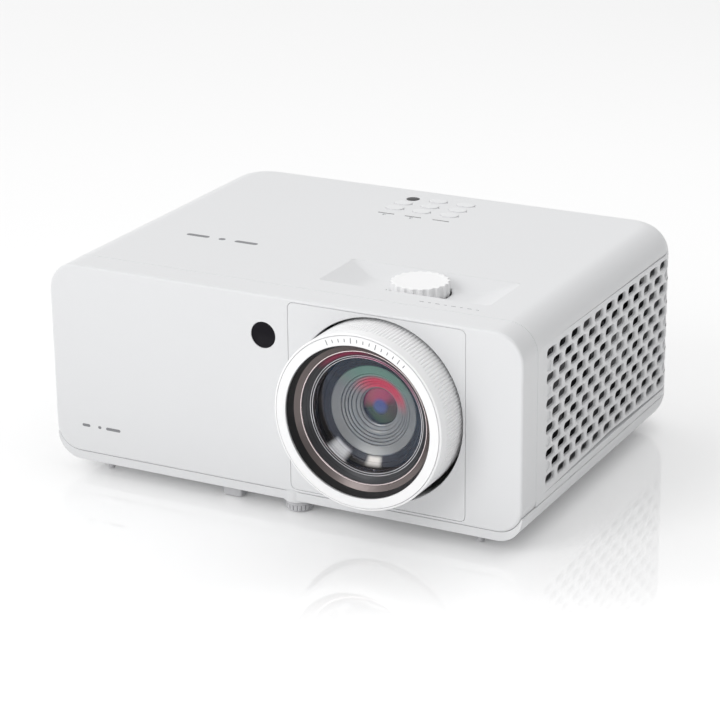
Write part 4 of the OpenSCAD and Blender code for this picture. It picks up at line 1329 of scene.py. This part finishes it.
turned_ring("mouth_lining", [(39.95, 1.1), (39.95, 6.4), (37.6, 6.4), (38.4, 5.4), (39.75, 1.1)],
            lens_black, "lens_baffle")
turned_ring("turned_rim", [(38.35, 5.5), (36.6, 6.7), (35.6, 7.4), (35.2, 8.6), (37.5, 7.2),
                           (38.3, 6.4)], turned_band, "lens_baffle")
turned_ring("rim_bead", [(35.6, 7.3), (35.35, 7.1), (35.0, 7.15), (34.8, 7.5), (34.9, 8.2),
                         (35.5, 7.9)], bead_metal, "lens_baffle")
turned_ring("dark_cone", [(34.85, 8.0), (34.5, 8.4), (33.4, 9.3), (33.3, 9.6), (32.0, 10.6),
                          (32.0, 11.4), (34.85, 9.2)], charcoal, "lens_baffle")


def bead(r, d, size):
    """Profile of a small round bead."""
    return [(r + size * math.cos(a), d - size * math.sin(a))
            for a in (math.radians(30 * i) for i in range(12))]


turned_ring("outer_bead", bead(31.65, 10.75, 0.3), bright_ring, "lens_retainer")
turned_ring("inner_bead", bead(30.6, 11.1, 0.28), bright_ring, "lens_retainer")
turned_ring("bead_seat", [(32.0, 10.9), (31.1, 11.2), (30.3, 11.5), (30.3, 12.0), (32.0, 12.0)],
            charcoal, "lens_retainer")

gloss_black.node_tree.nodes["Principled BSDF"].inputs["Specular IOR Level"].default_value = 0.15

# %% Steps of the inner barrel


def step_profile():
    """Profile of the grey steps, from the dark cone down to the pupil."""
    profile = [(23.1, 20.4), (22.8, 20.2), (22.4, 20.5), (19.6, 21.6), (18.6, 21.9)]
    for i in range(4):
        r = 18.2 - 1.5 * i
        profile += [(r, 22.6 + 0.6 * i), (r - 0.3, 22.3 + 0.6 * i), (r - 1.2, 22.5 + 0.6 * i)]
    profile += [(12.0, 24.6), (11.6, 25.2), (10.2, 25.5), (9.9, 26.1), (9.3, 26.4), (9.3, 27.2)]
    return profile + [(21.4, 27.2), (21.4, 38), (20.2, 46), (20.2, 62), (30.5, 62), (30.5, 30)]


turned_ring("inner_steps", step_profile(), inner_grey, "inner_barrel", 128)
turned_ring("black_throat", [(30.45, 16.3), (29.2, 16.6), (28.6, 17.4), (26.4, 18.2), (25.9, 19.0),
                             (23.2, 20.3), (23.2, 21.0), (30.45, 21.0)], gloss_black,
            "inner_barrel")

# %% Glass elements


def bowl(rim, bulge, edge, steps=20):
    """Profile of a shallow spherical face, from near the axis to the rim."""
    r = (rim * rim + bulge * bulge) / (2 * bulge)
    points = []
    for i in range(1, steps + 1):
        x = rim * i / steps
        points.append((x, depth(edge - bulge + r - math.sqrt(r * r - x * x))))
    return points


def glass_piece(name, rim, edge, front, rear, thick, material, node):
    """Lens element with two spherical faces."""
    glass = Shape()
    back = bowl(rim - 0.5, rear, edge + thick)
    lathe(glass, bowl(rim, front, edge) + back[::-1], LENS_AXIS, steps=128)
    # Without this the glass would shade the steps behind it.
    element = piece(name, glass, material, "lens_group", [node], 40)
    element.visible_shadow = False
    return element


def pupil_glass():
    """Opaque dark disc deep in the lens, tinted red and blue in place of reflections."""
    material = coated_glass("pupil_glass", 560.0, 1.4, (0.008, 0.002, 0.006))
    shader = material.node_tree.nodes["Principled BSDF"]
    shader.inputs["Transmission Weight"].default_value = 0.0
    shader.inputs["Specular IOR Level"].default_value = 0.2
    add_painted_reflection(material, (0.32, 0.012, 0.09), 1.5, 12, (-0.25, 0, 0.968), -0.2, 1.0)
    add_painted_reflection(material, (0.02, 0.03, 0.25), -3, 5, (0, 0, 1), -2, -1.5)
    return material


glass_piece("front_element", 30.5, 12, 5, 3.5, 4, front_glass, "front_lens")
glass_piece("pupil_element", 20.9, 32, 5.5, 1.5, 5, pupil_glass(), "middle_lens")
glass_piece("rear_element", 19.9, 50, 3, 1.2, 5, rear_glass, "rear_lens")

# %% [markdown]
# ## Feet
# Each foot is a knurled pad on a threaded stud. The thread is a real helix: the radius
# follows both the angle and the height, so that it climbs 2 mm for each turn, and that is
# the rise that the CAD model couples to the pad.
# %% Studs and pads
FOOT_R = 7.2


def make_stud(name):
    """Threaded stud of one foot."""
    stud = Shape()
    low, high = box_mm(f"{name}_stud")
    x, y = (low[0] + high[0]) / 2, (low[1] + high[1]) / 2
    rows = []
    count = int((high[2] - low[2]) / 0.25)
    for k in range(count + 1):
        z = low[2] + (high[2] - low[2]) * k / count
        fade = min(1, k / 4, (count - k) / 4)
        row = []
        for i in range(48):
            a = 2 * math.pi * i / 48
            r = 4.62 + 0.36 * fade * math.cos(2 * math.pi * z / 2 - a)
            row.append((x + r * math.cos(a), y + r * math.sin(a), z))
        rows.append(row)
    stud.loft(rows)
    stud.cap(rows[0])
    stud.cap(rows[-1])
    return piece(f"{name}_thread", stud, bright_steel, f"{name}_stud", [f"{name}_stud"],
                 60)


def make_pad(name):
    """Knurled pad with a smooth collar and a soft sole."""
    pad = Shape()
    x, y, _ = FEET[name]
    levels = [(0, 5.9, 0), (0.15, 6.5, 0), (0.5, 6.75, 0), (0.8, 6.8, 0), (0.95, FOOT_R, 0),
              (1.2, FOOT_R, 0.8), (3.3, FOOT_R, 0.8), (3.5, FOOT_R, 0), (3.65, 6.95, 0),
              (3.8, 6.95, 0), (3.95, FOOT_R, 0), (5.1, FOOT_R, 0), (5.4, 6.8, 0)]
    rows = []
    for z, r, rib in levels:
        row = []
        for i in range(192):
            a = 2 * math.pi * i / 192
            cut = rib * max(0, math.cos(20 * a)) ** 6
            row.append((x + (r - cut) * math.cos(a), y + (r - cut) * math.sin(a), z))
        rows.append(row)
    pad.loft(rows)
    pad.cap(rows[0])
    pad.cap(rows[-1])
    return piece(f"{name}_knob", pad, foot_white, f"{name}_pad", [f"{name}_pad"])


for foot in FEET:
    make_stud(foot)
    make_pad(foot)

# %% Rests
PEGS = [(-110, FACE_Y + 11), (110, FACE_Y + 11)]
REST = (-32, FACE_Y + 10)


def make_rests():
    """Two small pegs and a tab under the front edge."""
    rests = Shape()
    for x, y in PEGS:
        lathe(rests, [(1.2, 0.5), (1.6, 0.65), (1.8, 1.0), (1.8, BASE_Z + 1)], (x, y, 0), "z", 32)
    rows = []
    for inset, z in ((0.8, 0.3), (0.25, 0.45), (0, 1.0), (0, BASE_Z + 0.3)):
        rows.append(at_z(round_rect(REST[0] - 5.5 + inset, REST[0] + 5.5 - inset,
                                    REST[1] - 4 + inset, REST[1] + 4 - inset, 1.2, 5), z))
    rests.loft(rows)
    rests.cap(rows[0])
    rests.cap(rows[-1])
    return piece("front_rests", rests, foot_white, instead=["front_rest_pegs"])


make_rests()

# %% [markdown]
# ## Inside parts and sockets
# The fans, the light engine and the rear sockets are shown straight from the CAD model.
# They only need finishes, and the record already says which each part is made of, so one
# lookup gives every node that still shows the material of the same name.
# %% Finishes for the CAD nodes
by_slot = {m.name: m for m in bpy.data.materials}
by_slot["coated_glass"] = front_glass
dressed = 0
for row in frame["record"]["subparts"]:
    node = frame["nodes"][row["node"]]
    node.data.materials.clear()
    node.data.materials.append(by_slot[row["material_slot"]])
    dressed += not node.hide_render
print("CAD nodes shown with a finish:", dressed)

# %% [markdown]
# ## Camera, light and floor
# A long lens on a small projector keeps its edges nearly parallel, as in a catalogue. The
# camera is given in the CAD frame by its place, two angles and a small roll.
# %% Camera
CAMERA_PLACE = (0.6051, -1.1572, 0.5297)
CAMERA_ANGLES = (27.70, 20.10, -0.64)
FOCAL_LENGTH = 127.91


def place_camera():
    """Camera from its position, its direction and a small roll."""
    data = bpy.data.cameras.new("camera")
    data.sensor_width = 36
    data.lens = FOCAL_LENGTH
    data.clip_end = 30
    camera = bpy.data.objects.new("camera", data)
    bpy.context.scene.collection.objects.link(camera)
    azimuth, elevation, roll = (math.radians(a) for a in CAMERA_ANGLES)
    back = Vector((math.sin(azimuth) * math.cos(elevation), -math.cos(azimuth) * math.cos(elevation),
                   math.sin(elevation)))
    turn = (-back).to_track_quat("-Z", "Y").to_matrix()
    camera.matrix_world = Matrix.Translation(CAMERA_PLACE) @ turn.to_4x4() @ \
        Matrix.Rotation(roll, 4, "Z")
    bpy.context.scene.camera = camera


place_camera()

# %% Floor and light
FLOOR_HALF = 9
FLOOR_FORWARD = (-0.465, 0.885, 0)
FADE_START = -0.16
FADE_END = -0.27
FLOOR_SHINE = (0.7, 0.0)
FLOOR_LIFT = (0.06, 0.24)


def make_floor():
    """White table. Its shine fades towards the camera, which no real table's does."""
    h = FLOOR_HALF
    mesh = bpy.data.meshes.new("floor")
    mesh.from_pydata([(-h, -h, 0), (h, -h, 0), (h, h, 0), (-h, h, 0)], [], [(0, 1, 2, 3)])
    floor = bpy.data.objects.new("floor", mesh)
    bpy.context.scene.collection.objects.link(floor)
    material = bpy.data.materials.new("white_table")
    material.use_nodes = True
    tree = material.node_tree
    shader = tree.nodes["Principled BSDF"]
    shader.inputs["Base Color"].default_value = (0.97, 0.97, 0.97, 1)
    shader.inputs["Roughness"].default_value = 0.03
    shader.inputs["Emission Color"].default_value = (1, 1, 1, 1)
    along = tree.nodes.new("ShaderNodeVectorMath")
    along.operation = "DOT_PRODUCT"
    along.inputs[1].default_value = FLOOR_FORWARD
    tree.links.new(tree.nodes.new("ShaderNodeTexCoord").outputs["Object"], along.inputs[0])
    for label, (far, near) in (("Specular IOR Level", FLOOR_SHINE), ("Emission Strength", FLOOR_LIFT)):
        fade = tree.nodes.new("ShaderNodeMapRange")
        fade.interpolation_type = "SMOOTHSTEP"
        fade.inputs["From Min"].default_value = FADE_START
        fade.inputs["From Max"].default_value = FADE_END
        fade.inputs["To Min"].default_value = far
        fade.inputs["To Max"].default_value = near
        tree.links.new(along.outputs["Value"], fade.inputs["Value"])
        tree.links.new(fade.outputs[0], shader.inputs[label])
    mesh.materials.append(material)
    floor.location.z = -0.0002


make_floor()


def soft_box(name, place, aim, size, power):
    """Rectangular area light that points at a spot."""
    data = bpy.data.lights.new(name, "AREA")
    data.shape = "RECTANGLE"
    data.size, data.size_y = size
    data.energy = power
    light = bpy.data.objects.new(name, data)
    bpy.context.scene.collection.objects.link(light)
    light.location = place
    light.rotation_euler = (Vector(aim) - Vector(place)).to_track_quat("-Z", "Y").to_euler()


soft_box("overhead", (0.62, 0.3, 1.4), (0.05, 0, 0.08), (1.8, 1.4), 7.6)
soft_box("front_left", (-0.7, -1.7, 1.1), (0, 0, 0.06), (0.9, 1.1), 11)


ROOM_LEFT = 1.22
ROOM_RIGHT = 0.16


def pale_room():
    """Pale surroundings that fall off to the right, so that the vented side is shaded."""
    world = bpy.data.worlds.new("room")
    bpy.context.scene.world = world
    world.use_nodes = True
    tree = world.node_tree
    sky = tree.nodes["Background"]
    apart = tree.nodes.new("ShaderNodeSeparateXYZ")
    tree.links.new(tree.nodes.new("ShaderNodeTexCoord").outputs["Generated"], apart.inputs[0])
    fall = tree.nodes.new("ShaderNodeMapRange")
    fall.inputs["From Min"].default_value = -1.0
    fall.inputs["To Min"].default_value = ROOM_LEFT
    fall.inputs["To Max"].default_value = ROOM_RIGHT
    tree.links.new(apart.outputs["X"], fall.inputs["Value"])
    tree.links.new(fall.outputs[0], sky.inputs["Strength"])
    sky.inputs["Color"].default_value = (1, 1, 1, 1)


pale_room()
bpy.context.scene.view_settings.view_transform = "Standard"
